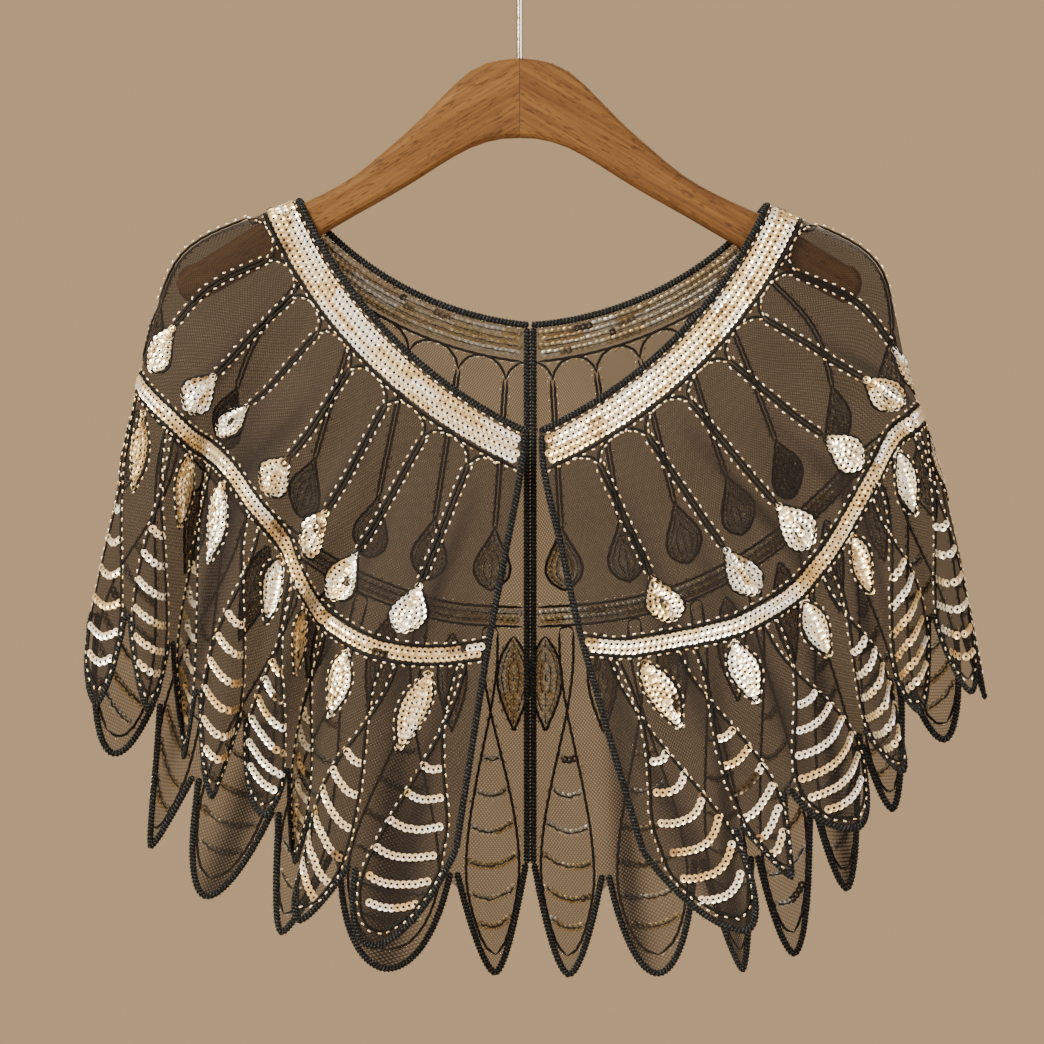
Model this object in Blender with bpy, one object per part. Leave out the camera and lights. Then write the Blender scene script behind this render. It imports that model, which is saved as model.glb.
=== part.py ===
"""Sequin capelet on a wooden hanger.

Lengths in the tables and the named sizes are in millimetres; MM turns them to metres when a mesh is made.
+X is the hanger's left-to-right as seen from the front, +Z is up, and the front of the capelet faces -Y.
The origin is the inside top of the hook, where it lies on a rod. A "drop" is a depth below the origin.

Each half of the capelet is one sheet with its own coordinates: u counts the pattern's columns from the
front edge (0) over the shoulder (about 8) to the centre back (14), and v runs from the neck edge (0) to
the tips of the hem's petals (1).
"""
import math
from collections import namedtuple

import bpy
from mathutils import Vector

MM = 0.001

# ---- cloth -----------------------------------------------------------------------------------------
COLUMNS = 14                 # pattern columns in each half
CELLS = 4                    # mesh cells across a column
NET = 1.2                    # wall of the embroidered net
GAP = 0.3                    # between pieces
TRIM = 0.9                   # thickness of a sequin band
BAND_EASE = 0.45             # from the net to the band on it, where the net is flat
CORD = 4.0                   # width of the fuzzy edge cord
CORD_DEEP = 1.8              # its depth across the cloth
NECKBAND = 24.0              # neck edge to the neckband's lower edge
DROP = 322.0                 # neck edge to the tip of a petal, at the front
V_BAND, V_BUST, V_WAIST, V_NOTCH = NECKBAND / DROP, 0.25, 0.45, 0.86
V_CORD = CORD / DROP
INSET = CORD + 2 * GAP        # the net's edge, from the outer edge of its cord
HEM_EASE = 1.4               # and this much more round the petals, where the cord turns on itself
V_NET = INSET / DROP
WAIST_HALF = 0.0155          # half the waist band's width, as a share of the drop
BODY_ROWS = (V_BAND, 0.16, V_BUST, 0.345, V_WAIST - WAIST_HALF, V_WAIST + WAIST_HALF, 0.60, 0.74)
TURN = 0.1                   # step in u or v for a direction on the sheet

# ---- hanger ----------------------------------------------------------------------------------------
WOOD = 12.0                  # thickness of the hanger
WOOD_ROUND = 4.5             # rounding of its edges
WIRE = 4.4                   # hook wire diameter
HOOK_R = 20.0                # radius of the hook's bow, to the wire's middle
HOOK_NECK_R = 10.4           # radius of the reverse bend above the shank
HOOK_NECK_TURN = 70.0        # degrees of that bend
HOOK_TIP = 205.0             # where the bow ends, degrees from +X
SHANK_IN = 14.0              # shank screwed into the wood
CLOTH_OFF_WOOD = 1.3         # middle of the net to the wood
ARM_HALF = WOOD / 2 + CLOTH_OFF_WOOD

# Half of the hanger: x from the middle, drop of the top edge, drop of the lower edge.
Section = namedtuple("Section", "x top bottom")
HANGER = (
    Section(0.15, 83.0, 131.8),
    Section(12.0, 84.2, 132.4),
    Section(26.0, 88.5, 136.2),
    Section(41.0, 100.5, 143.6),
    Section(58.0, 118.2, 154.4),
    Section(74.0, 133.0, 164.2),
    Section(102.0, 156.0, 180.0),
    Section(131.0, 171.4, 196.8),
    Section(155.0, 182.0, 209.6),
    Section(180.0, 197.2, 223.6),
    Section(198.0, 208.4, 232.6),
)
HANGER_END_X = 209.0         # rounded end of each arm

# ---- neckline --------------------------------------------------------------------------------------
NECK_X = 8.0                 # middle of the neckline
SEAM_X = 6.5                 # centre back seam
SEAM_HALF = 0.5              # from it to the edge of each half, as in the tables below
NECK_HALF = 141.0            # half the neck's width, at its edge on the shoulders
SHOULDER_DROP = {-1: 168.3, 1: 171.8}
FRONT_DROP = 309.5           # neck edge at the centre front
FRONT_OPEN = 3.2             # half the space between the two front corners
BACK_DROP = 243.0            # neck edge at the centre back
FRONT_SAG, BACK_SAG = 18.0, 16.0
FRONT_Y, BACK_Y = -25.0, 20.0
SHOULDER_U = {-1: 8.0, 1: 7.5}  # fold line on the arm's top; the capelet hangs a little askew
GORE = 0.04                  # share of the front neckline that the first column takes
GORE_LEAN = 9.0              # how far its outer corner leans to the front edge
SHOULDER_LIFT = {-1: 28.0, 1: 36.0}  # the sheet's rise over the arm's end, between neck and waist
SHOULDER_SPREAD = 1.3        # columns either side that this lift reaches

# ---- drape -----------------------------------------------------------------------------------------
# One row for each fold line down the sheet: where it crosses the waist band and the tips of the petals.
Fold = namedtuple("Fold", "u waist_x waist_drop waist_y hem_x hem_drop hem_y")
LEFT = (
    Fold(0.0, -17, 442, -34, -44, 614, -38),
    Fold(1.0, -51, 446, -38, -121, 625, -48),
    Fold(1.6, -81, 443, -40, -137, 598, -47),
    Fold(2.0, -101, 435, -36, -134, 585, -30),
    Fold(2.6, -121, 421, -20, -139, 571, -6),
    Fold(3.2, -131, 404, -36, -147, 552, -44),
    Fold(4.0, -141, 380, -28, -176, 528, -30),
    Fold(4.5, -158, 358, -38, -184, 532, -54),
    Fold(5.0, -176, 333, -30, -199, 524, -34),
    Fold(5.6, -189, 322, -10, -206, 506, -4),
    Fold(6.0, -198, 316, -22, -214, 490, -24),
    Fold(6.6, -212, 302, -31, -226, 479, -44),
    Fold(7.0, -225, 289, -20, -240, 478, -26),
    Fold(7.5, -231, 281, -8, -257, 478, -18),
    Fold(8.0, -230, 287, 6, -271, 476, -1),
    Fold(9.0, -190, 331, 18, -236, 538, 20),
    Fold(10.0, -151, 369, 26, -220, 588, 32),
    Fold(11.0, -114, 395, 30, -166, 607, 38),
    Fold(12.0, -77, 412, 33, -128, 634, 33),
    Fold(13.0, -41, 422, 31, -40, 650, 40),
    Fold(14.0, 6.0, 425, 29, 6.0, 640, 33),
)
RIGHT = (
    Fold(0.0, 36, 439, -34, 88, 618, -36),
    Fold(0.5, 53, 441, -37, 137, 612, -46),
    Fold(1.0, 70, 441, -38, 157, 593, -48),
    Fold(2.0, 125, 430, -39, 174, 567, -44),
    Fold(2.5, 148, 420, -35, 206, 550, -40),
    Fold(3.0, 168, 407, -22, 222, 528, -16),
    Fold(3.5, 182, 390, -34, 232, 516, -42),
    Fold(4.0, 197, 368, -24, 235, 498, -24),
    Fold(4.5, 212, 341, -27, 243, 480, -38),
    Fold(5.0, 226, 316, -14, 257, 468, -12),
    Fold(5.5, 237, 306, -26, 272, 470, -34),
    Fold(6.0, 244, 300, -12, 283, 470, -14),
    Fold(7.0, 241, 306, 2, 279, 482, 4),
    Fold(8.0, 214, 325, 15, 246, 521, 20),
    Fold(9.0, 186, 353, 24, 219, 566, 28),
    Fold(10.0, 158, 378, 28, 190, 616, 34),
    Fold(11.0, 125, 399, 30, 152, 644, 24),
    Fold(12.0, 89, 414, 33, 119, 642, 42),
    Fold(13.0, 50, 422, 31, 54, 652, 38),
    Fold(14.0, 7.0, 425, 29, 7.0, 640, 33),
)


# ---- curves ----------------------------------------------------------------------------------------
def smooth(places, values, at):
    """A smooth curve through (place, value) pairs, read at one place."""
    last = len(places) - 1
    at = min(max(at, places[0]), places[-1])
    i = 0
    while i < last - 1 and at > places[i + 1]:
        i += 1

    def slope(k):
        low, high = max(k - 1, 0), min(k + 1, last)
        return (values[high] - values[low]) / (places[high] - places[low])

    width = places[i + 1] - places[i]
    t = (at - places[i]) / width
    return (values[i] * (2 * t ** 3 - 3 * t ** 2 + 1) + values[i + 1] * (3 * t ** 2 - 2 * t ** 3)
            + slope(i) * width * (t ** 3 - 2 * t ** 2 + t) + slope(i + 1) * width * (t ** 3 - t ** 2))


def arc(start, end, sag, share):
    """A point and its outward direction on an arc that hangs below the chord from start to end."""
    chord = end - start
    length = chord.length
    along = chord / length
    below = Vector((along.z, 0, -along.x)) if along.x > 0 else Vector((-along.z, 0, along.x))
    radius = (length ** 2 / 4 + sag ** 2) / (2 * sag)
    half_angle = math.asin(length / (2 * radius))
    angle = half_angle * (2 * share - 1)
    point = start + along * (length / 2 + radius * math.sin(angle)) \
        + below * (sag - radius * (1 - math.cos(angle)))
    outward = below * math.cos(angle) + along * math.sin(angle)
    return point, outward, along * math.cos(angle) - below * math.sin(angle)


# ---- hanger's outline ------------------------------------------------------------------------------
def hanger_outline():
    """Half the hanger seen from the front: along the top, round the end and back along the bottom."""
    places = [row.x for row in HANGER]
    steps = [HANGER[0].x + (HANGER[-1].x - HANGER[0].x) * k / 20 for k in range(21)]
    top = [(x, -smooth(places, [row.top for row in HANGER], x)) for x in steps]
    bottom = [(x, -smooth(places, [row.bottom for row in HANGER], x)) for x in steps]
    start, end = Vector(top[-1]), Vector(bottom[-1])
    middle, half = (start + end) / 2, (start - end) / 2
    out = Vector((HANGER_END_X - HANGER[-1].x, 0))
    turn = [middle + half * math.cos(a) + out * math.sin(a)
            for a in (math.pi * k / 6 for k in range(1, 6))]
    return top + [tuple(p) for p in turn] + bottom[::-1]


OUTLINE = hanger_outline()


# ---- the sheet -------------------------------------------------------------------------------------
def over_arm(columns):
    """How far the cloth stands to the front or back, this many columns from the fold on the arm's top."""
    return ARM_HALF * min(1.0, columns * CELLS)


def neck(side, u):
    """The neck edge and the neckband's lower edge on one fold line; side is -1 left, +1 right."""
    shoulder = Vector((NECK_X + side * NECK_HALF, 0, -SHOULDER_DROP[side]))
    top = SHOULDER_U[side]
    if u <= top:
        share = GORE * u if u < 1 else GORE + (1 - GORE) * (u - 1) / (top - 1)
        end = Vector((NECK_X + side * FRONT_OPEN, 0, -FRONT_DROP))
        point, outward, along = arc(shoulder, end, FRONT_SAG, 1 - share)
        depth = -1.0 * over_arm(top - u) + (FRONT_Y + ARM_HALF) * math.sin(math.pi / 2 * (1 - share))
        lean = along * GORE_LEAN * max(0.0, 1 - u)
    else:
        share = (u - top) / (COLUMNS - top)
        end = Vector((SEAM_X + side * SEAM_HALF, 0, -BACK_DROP))
        point, outward, along = arc(shoulder, end, BACK_SAG, share)
        depth = over_arm(u - top) + (BACK_Y - ARM_HALF) * math.sin(math.pi / 2 * share)
        outward = (outward * (1 - share) + Vector((0, 0, -1)) * share).normalized()
        lean = Vector()
    blend = max(0.0, 1 - abs(u - top))
    outward = (outward + Vector((side, 0, -0.35)) * blend).normalized()
    deep = Vector((0, depth, 0))
    lower = point + deep * 1.12 + outward * NECKBAND + lean
    return point + deep, lower


def nearest_outline(x, z):
    """How far (x, z) lies outside the hanger's outline, less than 0 inside it, and the way out."""
    best, inside = None, False
    for (ax, az), (bx, bz) in zip(OUTLINE, OUTLINE[1:]):
        run_x, run_z = bx - ax, bz - az
        share = ((x - ax) * run_x + (z - az) * run_z) / (run_x ** 2 + run_z ** 2)
        share = min(max(share, 0.0), 1.0)
        away_x, away_z = x - ax - run_x * share, z - az - run_z * share
        distance = math.hypot(away_x, away_z)
        if best is None or distance < best[0]:
            best = (distance, away_x, away_z)
        if (az > z) != (bz > z) and x < ax + run_x * (z - az) / run_z:
            inside = not inside
    distance, away_x, away_z = best
    scale = max(distance, 1e-6) * (-1 if inside else 1)
    return (-distance if inside else distance), away_x / scale, away_z / scale


def off_wood(point):
    """Where the sheet would touch an arm of the hanger, it is laid over it."""
    if abs(point.y) > WOOD / 2 + CLOTH_OFF_WOOD:
        return point
    outside, way_x, way_z = nearest_outline(abs(point.x), point.z)
    over_edge = max(outside + WOOD_ROUND, 0.0)
    over_face = max(abs(point.y) - WOOD / 2 + WOOD_ROUND, 0.0)
    reach = math.hypot(over_edge, over_face)
    wanted = WOOD_ROUND + CLOTH_OFF_WOOD
    if reach >= wanted:
        return point
    if over_edge < over_face or reach < 1e-6:
        return Vector((point.x, math.copysign(ARM_HALF, point.y), point.z))
    push = wanted / reach - 1
    return Vector((point.x + math.copysign(way_x * over_edge * push, point.x),
                   point.y + math.copysign(over_face * push, point.y),
                   point.z + way_z * over_edge * push))


def sheet(side, u, v):
    """A point on the middle of one half's net."""
    rows = LEFT if side < 0 else RIGHT
    places = [row.u for row in rows]
    edge, band = neck(side, u)
    waist = Vector((smooth(places, [row.waist_x for row in rows], u),
                    smooth(places, [row.waist_y for row in rows], u),
                    -smooth(places, [row.waist_drop for row in rows], u)))
    hem = Vector((smooth(places, [row.hem_x for row in rows], u),
                  smooth(places, [row.hem_y for row in rows], u),
                  -smooth(places, [row.hem_drop for row in rows], u)))
    middle = band.lerp(waist, (V_BUST - V_BAND) / (V_WAIST - V_BAND))
    lift = SHOULDER_LIFT[side] * math.exp(-((u - SHOULDER_U[side]) / SHOULDER_SPREAD) ** 2)
    middle += Vector((side * 0.65, 0, 0.75)) * lift
    stations = (0.0, V_BAND, V_BUST, V_WAIST, 1.0)
    points = (edge, band, middle, waist, hem)
    return off_wood(Vector([smooth(stations, [p[axis] for p in points], v) for axis in range(3)]))


def frame_at(side, u, v):
    """Directions on the sheet: along u, along v, and out of its right side, with the size of a column."""
    low, high = max(u - TURN, 0.0), min(u + TURN, COLUMNS)
    across = sheet(side, high, v) - sheet(side, low, v)
    above, below = max(v - TURN / 5, 0.0), min(v + TURN / 5, 1.0)
    down = sheet(side, u, below) - sheet(side, u, above)
    out = down.cross(across).normalized() * side
    return across.normalized(), down.normalized(), out, across.length / (high - low), down.length / (below - above)


def hem_v(u):
    """The petals: v of the hem at u. Each column ends in one rounded point, with a notch either side."""
    offset = abs(2 * (u - math.floor(u)) - 1) if u < COLUMNS else 1.0
    return V_NOTCH + (1 - V_NOTCH) * (1 - offset ** 1.9)


def hem_frame(side, u, least=0.6):
    """A hem point, the direction into the cloth (up to 1 / least longer in a notch), and out of the right side."""
    step = 0.5 / CELLS
    low, high = max(u - step, 0.0), min(u + step, COLUMNS)
    here = sheet(side, u, hem_v(u))
    out = frame_at(side, u, hem_v(u))[2]
    turns = []
    for a, b in ((low, u), (u, high)):
        if b > a:
            run = sheet(side, b, hem_v(b)) - sheet(side, a, hem_v(a))
            turns.append(out.cross(run).normalized() * side)
    inward = sum(turns, Vector()).normalized()
    stretch = 1 / max(abs(inward.dot(turns[0])), least)
    return here, inward * stretch, out


# ---- solids ----------------------------------------------------------------------------------------
def material(name, colour, roughness, metallic=0.0):
    made = bpy.data.materials.new(name)
    made.use_nodes = True
    shader = made.node_tree.nodes["Principled BSDF"]
    shader.inputs["Base Color"].default_value = (*colour, 1)
    shader.inputs["Roughness"].default_value = roughness
    shader.inputs["Metallic"].default_value = metallic
    return made


def add_object(name, vertices, faces, finish):
    mesh = bpy.data.meshes.new(name)
    mesh.from_pydata([tuple(Vector(p) * MM) for p in vertices], [], faces)
    mesh.materials.append(finish)
    mesh.shade_smooth()
    mesh.set_sharp_from_angle(angle=math.radians(40))
    made = bpy.data.objects.new(name, mesh)
    bpy.context.scene.collection.objects.link(made)
    return made


def wall(name, grid, side, finish):
    """A closed wall between two skins; grid[row][column] holds (inner point, outer point)."""
    rows, columns = len(grid), len(grid[0])
    vertices = [pair[skin] for skin in (0, 1) for row in grid for pair in row]
    skin_size = rows * columns

    def index(skin, row, column):
        return skin * skin_size + row * columns + column

    faces = []
    for i in range(rows - 1):
        for j in range(columns - 1):
            outer = [index(1, i, j), index(1, i, j + 1), index(1, i + 1, j + 1), index(1, i + 1, j)]
            inner = [index(0, i, j), index(0, i + 1, j), index(0, i + 1, j + 1), index(0, i, j + 1)]
            faces += [outer[:3], [outer[0], outer[2], outer[3]]]
            faces += [[inner[0], inner[1], inner[2]], [inner[0], inner[2], inner[3]]]
    rim = [(0, j) for j in range(columns)] + [(i, columns - 1) for i in range(1, rows)]
    rim += [(rows - 1, j) for j in range(columns - 2, -1, -1)] + [(i, 0) for i in range(rows - 2, 0, -1)]
    for k, here in enumerate(rim):
        after = rim[(k + 1) % len(rim)]
        edge = [index(0, *here), index(0, *after), index(1, *after), index(1, *here)]
        faces += [edge[:3], [edge[0], edge[2], edge[3]]]
    if side > 0:
        faces = [face[::-1] for face in faces]
    return add_object(name, vertices, faces, finish)


def skins(point, out, low, high):
    return point + out * low, point + out * high


def fold_lines(side, v=None, inset=0.0):
    """u of each mesh line at one v: every quarter of a column, with two more on the arm's top."""
    lines = [k / CELLS for k in range(COLUMNS * CELLS + 1)]
    top = SHOULDER_U[side]
    lines = sorted(lines + [top - 0.5 / CELLS, top + 0.5 / CELLS])
    if inset:
        front = min(inset / frame_at(side, 0.3, v)[3], 0.9)
        back = inset / frame_at(side, COLUMNS - 0.3, v)[3]
        lines = [front + (1 - front) * u if u < 1 else u for u in lines]
        lines = [COLUMNS - back - (1 - back) * (COLUMNS - u) if u > COLUMNS - 1 else u for u in lines]
    return lines


def body(side, name, finish):
    grid = []
    for v in (V_NET,) + BODY_ROWS:
        row = []
        for u in fold_lines(side, v, INSET):
            row.append(skins(sheet(side, u, v), frame_at(side, u, v)[2], -NET / 2, NET / 2))
        grid.append(row)
    row = []
    for u in fold_lines(side, V_NOTCH, INSET):
        here, inward, out = hem_frame(side, u, 0.4)
        row.append(skins(here + inward * (INSET + HEM_EASE), out, -NET / 2, NET / 2))
    grid.append(row)
    return wall(name, grid, side, finish)


def band(side, name, v_low, v_high, finish):
    """A sequin band that lies on the right side of the net."""
    low = NET / 2 + BAND_EASE
    grid = []
    for v in (v_low, v_high):
        grid.append([skins(sheet(side, u, v), frame_at(side, u, v)[2], low, low + TRIM)
                     for u in fold_lines(side, v, INSET)])
    return wall(name, grid, side, finish)


def cord(name, side, points, finish):
    """A flat-sided cord; points holds (edge point, inner point, out direction)."""
    grid = [[], []]
    for edge, inner, out in points:
        grid[0].append(skins(inner, out, -NET / 2, CORD_DEEP - NET / 2))
        grid[1].append(skins(edge, out, -NET / 2, CORD_DEEP - NET / 2))
    return wall(name, grid, side, finish)


def cords(side, label, finish):
    # neck edge, from the front corner to the centre back
    points = []
    for u in fold_lines(side):
        out = frame_at(side, u, V_CORD / 2)[2]
        points.append((sheet(side, u, V_CORD), sheet(side, u, 0.0), out))
    cord("neck_cord_" + label, side, points, finish)

    # hem, round every petal
    lines = fold_lines(side, V_NOTCH, INSET)
    points = []
    for u in lines:
        here, inward, out = hem_frame(side, u)
        points.append((here, here + inward * CORD, out))
    cord("hem_cord_" + label, side, points, finish)

    # the two straight edges, between the neck cord and the hem's end notches
    for name, u, turn in (("front_cord_", 0.0, 1), ("back_seam_cord_", float(COLUMNS), -1)):
        rows = [V_NET + GAP / DROP] + [v for v in BODY_ROWS] + [V_NOTCH]
        points = []
        for v in rows:
            along, _, out, column, _ = frame_at(side, u, v)
            points.append((sheet(side, u, v), sheet(side, u + turn * CORD / column, v), out))
        grid = [[skins(p, out, -NET / 2, CORD_DEEP - NET / 2) for p in ((e, i) if turn > 0 else (i, e))]
                for e, i, out in points]
        wall(name + label, grid, side, finish)


# ---- hanger ----------------------------------------------------------------------------------------
def hanger_half(side, name, finish):
    outline = [(side * x, z) for x, z in hanger_outline()]
    count = len(outline)
    vertices = [(x, y, z) for y in (-WOOD / 2, WOOD / 2) for x, z in outline]
    front = list(range(count))
    back = [count + k for k in reversed(range(count))]
    walls = [[k, count + k, count + (k + 1) % count, (k + 1) % count] for k in range(count)]
    faces = [front, back] + walls
    if side < 0:
        faces = [face[::-1] for face in faces]
    made = add_object(name, vertices, faces, finish)
    rounding = made.modifiers.new("rounded edges", "BEVEL")
    rounding.width = WOOD_ROUND * MM
    rounding.segments = 3
    rounding.limit_method = "WEIGHT"
    weights = made.data.attributes.new("bevel_weight_edge", "FLOAT", "EDGE")
    joint_line = abs(outline[0][0]) + 0.01
    for edge in made.data.edges:
        a, b = (made.data.vertices[i].co / MM for i in edge.vertices)
        rim = abs(a.y - b.y) < 0.01
        at_joint = abs(a.x) < joint_line and abs(b.x) < joint_line
        weights.data[edge.index].value = 1.0 if rim and not at_joint else 0.0
    return made


def hook_route():
    """The wire's middle line, from the tip of the bow round and down into the wood."""
    centre = Vector((0, 0, WIRE / 2 - HOOK_R))
    leave = -HOOK_NECK_TURN
    route = []
    for k in range(25):
        angle = math.radians(HOOK_TIP + (leave - HOOK_TIP) * k / 24)
        route.append(centre + Vector((math.cos(angle), 0, math.sin(angle))) * HOOK_R)
    turn = math.radians(leave)
    inner = route[-1] + Vector((math.cos(turn), 0, math.sin(turn))) * HOOK_NECK_R
    for k in range(1, 8):
        angle = math.radians(180 + leave + HOOK_NECK_TURN * k / 7)
        route.append(inner + Vector((math.cos(angle), 0, math.sin(angle))) * HOOK_NECK_R)
    route = [p - Vector((route[-1].x, 0, 0)) for p in route] if abs(route[-1].x) < 1 else route
    route.append(Vector((0, 0, -HANGER[0].top - SHANK_IN)))
    return route


def hook(finish):
    curve = bpy.data.curves.new("hook", "CURVE")
    curve.dimensions = "3D"
    curve.bevel_depth = WIRE / 2 * MM
    curve.bevel_resolution = 3
    curve.use_fill_caps = True
    line = curve.splines.new("POLY")
    route = hook_route()
    line.points.add(len(route) - 1)
    for point, place in zip(line.points, route):
        point.co = (*(place * MM), 1)
    curve.materials.append(finish)
    made = bpy.data.objects.new("hook", curve)
    bpy.context.scene.collection.objects.link(made)


def bore_for_shank(halves, finish):
    """The shank's hole, half in each half of the wood."""
    bpy.ops.mesh.primitive_cylinder_add(
        vertices=16, radius=(WIRE / 2 + GAP) * MM, depth=2 * (SHANK_IN + GAP) * MM,
        location=(0, 0, -HANGER[0].top * MM))
    cutter = bpy.context.object
    cutter.name = "shank_bore_cutter"
    cutter.data.materials.append(finish)
    cutter.hide_render = True
    cutter.display_type = "WIRE"
    for half in halves:
        cut = half.modifiers.new("shank bore", "BOOLEAN")
        cut.operation = "DIFFERENCE"
        cut.object = cutter


def closure(finish):
    """Hook and eye between the two front corners, laid flat: a small oval bar."""
    middle = Vector((NECK_X, FRONT_Y, -FRONT_DROP - 1.0))
    bpy.ops.mesh.primitive_uv_sphere_add(segments=12, ring_count=8, radius=1, location=middle * MM)
    made = bpy.context.object
    made.name = "hook_and_eye"
    made.scale = ((FRONT_OPEN - GAP) * MM, 1.6 * MM, 2.2 * MM)
    bpy.ops.object.transform_apply(location=False, rotation=False, scale=True)
    made.data.materials.append(finish)
    made.data.shade_smooth()


def build():
    for existing in list(bpy.data.objects):
        bpy.data.objects.remove(existing)
    net = material("black_net", (0.03, 0.022, 0.018), 0.9)
    sequins = material("champagne_sequins", (0.76, 0.62, 0.38), 0.25, 0.9)
    black_cord = material("black_cord", (0.012, 0.011, 0.011), 0.95)
    wood = material("varnished_wood", (0.36, 0.17, 0.07), 0.4)
    metal = material("hook_metal", (0.75, 0.72, 0.66), 0.25, 1.0)
    halves = []
    for side, label in ((-1, "left"), (1, "right")):
        body(side, "body_" + label, net)
        band(side, "neckband_" + label, V_NET, V_BAND, sequins)
        band(side, "waist_band_" + label, V_WAIST - WAIST_HALF, V_WAIST + WAIST_HALF, sequins)
        cords(side, label, black_cord)
        halves.append(hanger_half(side, "hanger_" + label, wood))
    hook(metal)
    bore_for_shank(halves, wood)
    closure(black_cord)


build()
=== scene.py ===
"""Sequin capelet hung on a wooden hanger.

Lengths are in millimetres until a mesh is made, +Z is up and the front of the capelet faces -Y. A "drop"
in a name is a depth below the origin, the inside top of the hanger's hook. Each half of the capelet is one
sheet with its own coordinates: u counts the pattern's columns from the front edge (0) over the shoulder to
the centre back (14), and v runs from the neck edge (0) to the tips of the hem's petals (1).
"""
import math
from collections import namedtuple

import bpy
import numpy as np
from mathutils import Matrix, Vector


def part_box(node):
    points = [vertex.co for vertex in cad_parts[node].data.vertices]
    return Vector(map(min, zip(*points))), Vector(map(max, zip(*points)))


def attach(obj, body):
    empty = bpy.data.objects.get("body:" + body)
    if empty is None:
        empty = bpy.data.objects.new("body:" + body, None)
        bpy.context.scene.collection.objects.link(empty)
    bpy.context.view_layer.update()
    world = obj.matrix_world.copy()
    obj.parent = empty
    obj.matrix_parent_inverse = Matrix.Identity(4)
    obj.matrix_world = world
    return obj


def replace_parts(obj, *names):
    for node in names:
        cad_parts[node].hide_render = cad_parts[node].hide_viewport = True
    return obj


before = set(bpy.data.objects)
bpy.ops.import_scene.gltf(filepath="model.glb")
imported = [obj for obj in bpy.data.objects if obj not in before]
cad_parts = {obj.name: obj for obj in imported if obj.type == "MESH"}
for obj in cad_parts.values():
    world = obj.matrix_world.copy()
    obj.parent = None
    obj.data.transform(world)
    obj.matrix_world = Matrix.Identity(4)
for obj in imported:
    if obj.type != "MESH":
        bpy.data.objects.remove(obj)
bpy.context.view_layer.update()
bpy.ops.object.select_all(action="DESELECT")


# ---- materials and their nodes -----------------------------------------------------------------------
def linear(code):
    """An sRGB hex colour as the linear RGBA that a shader takes."""
    channels = [int(code[k:k + 2], 16) / 255 for k in (1, 3, 5)]
    return [c / 12.92 if c <= 0.04045 else ((c + 0.055) / 1.055) ** 2.4 for c in channels] + [1.0]


def add_node(tree, kind, settings=(), links=(), **values):
    """One shader node: its settings, the values of its sockets, and (socket, source) links into it."""
    node = tree.nodes.new(kind)
    for name, value in dict(settings).items():
        setattr(node, name, value)
    for name, value in values.items():
        node.inputs[name.replace("_", " ")].default_value = value
    for socket, source in links:
        tree.links.new(source, node.inputs[socket])
    return node


def new_material(name, colour, roughness, metallic=0.0, specular=0.5):
    """A named material with a Principled surface; returns it with its node tree and that surface."""
    made = bpy.data.materials.new(name)
    made.use_nodes = True
    surface = made.node_tree.nodes["Principled BSDF"]
    surface.inputs["Base Color"].default_value = linear(colour)
    surface.inputs["Roughness"].default_value = roughness
    surface.inputs["Metallic"].default_value = metallic
    surface.inputs["Specular IOR Level"].default_value = specular
    return made, made.node_tree, surface


def object_place(tree):
    """Coordinates on the object itself, in metres."""
    return add_node(tree, "ShaderNodeTexCoord").outputs["Object"]


def mapped(tree, where, scale=(1, 1, 1), turn=(0, 0, 0)):
    """Coordinates scaled, or turned by degrees."""
    return add_node(tree, "ShaderNodeMapping", links=[("Vector", where)], Scale=scale,
                    Rotation=[math.radians(angle) for angle in turn]).outputs["Vector"]


def noise(tree, where, scale, detail, **values):
    """Noise over some coordinates."""
    return add_node(tree, "ShaderNodeTexNoise", links=[("Vector", where)], Scale=scale, Detail=detail,
                    **values).outputs["Fac"]


def attribute(tree, name):
    """A value that the piece's points carry."""
    return add_node(tree, "ShaderNodeAttribute", settings={"attribute_name": name}).outputs["Fac"]


def arithmetic(tree, operation, *terms, clamp=False):
    """A sum or product of sockets and plain numbers."""
    node = add_node(tree, "ShaderNodeMath", settings={"operation": operation, "use_clamp": clamp})
    for socket, term in zip(node.inputs, terms):
        if isinstance(term, float):
            socket.default_value = term
        else:
            tree.links.new(term, socket)
    return node.outputs["Value"]


def ranged(tree, value, start, end, to_start, to_end):
    """A value between start and end, moved to lie between two others and held there."""
    return add_node(tree, "ShaderNodeMapRange", links=[("Value", value)], From_Min=start, From_Max=end,
                    To_Min=to_start, To_Max=to_end).outputs["Result"]


def ramp(tree, value, *stops):
    """A value as a colour, from (position, hex colour) pairs."""
    node = add_node(tree, "ShaderNodeValToRGB", links=[("Fac", value)])
    elements = node.color_ramp.elements
    while len(elements) < len(stops):
        elements.new(0.5)
    for element, (position, colour) in zip(elements, stops):
        element.position = position
        element.color = linear(colour)
    return node.outputs["Color"]


def mixed(tree, share, colour, code, blend="MIX"):
    """A colour with a share of another one, which is given as a hex colour."""
    node = add_node(tree, "ShaderNodeMix", settings={"data_type": "RGBA", "blend_type": blend},
                    links=[(0, share), (6, colour)])
    node.inputs[7].default_value = linear(code)
    return node.outputs[2]


def add_relief(tree, surface, height, strength, distance):
    """Fine relief on a surface."""
    relief = add_node(tree, "ShaderNodeBump", links=[("Height", height)], Strength=strength,
                      Distance=distance)
    tree.links.new(relief.outputs["Normal"], surface.inputs["Normal"])


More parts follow.
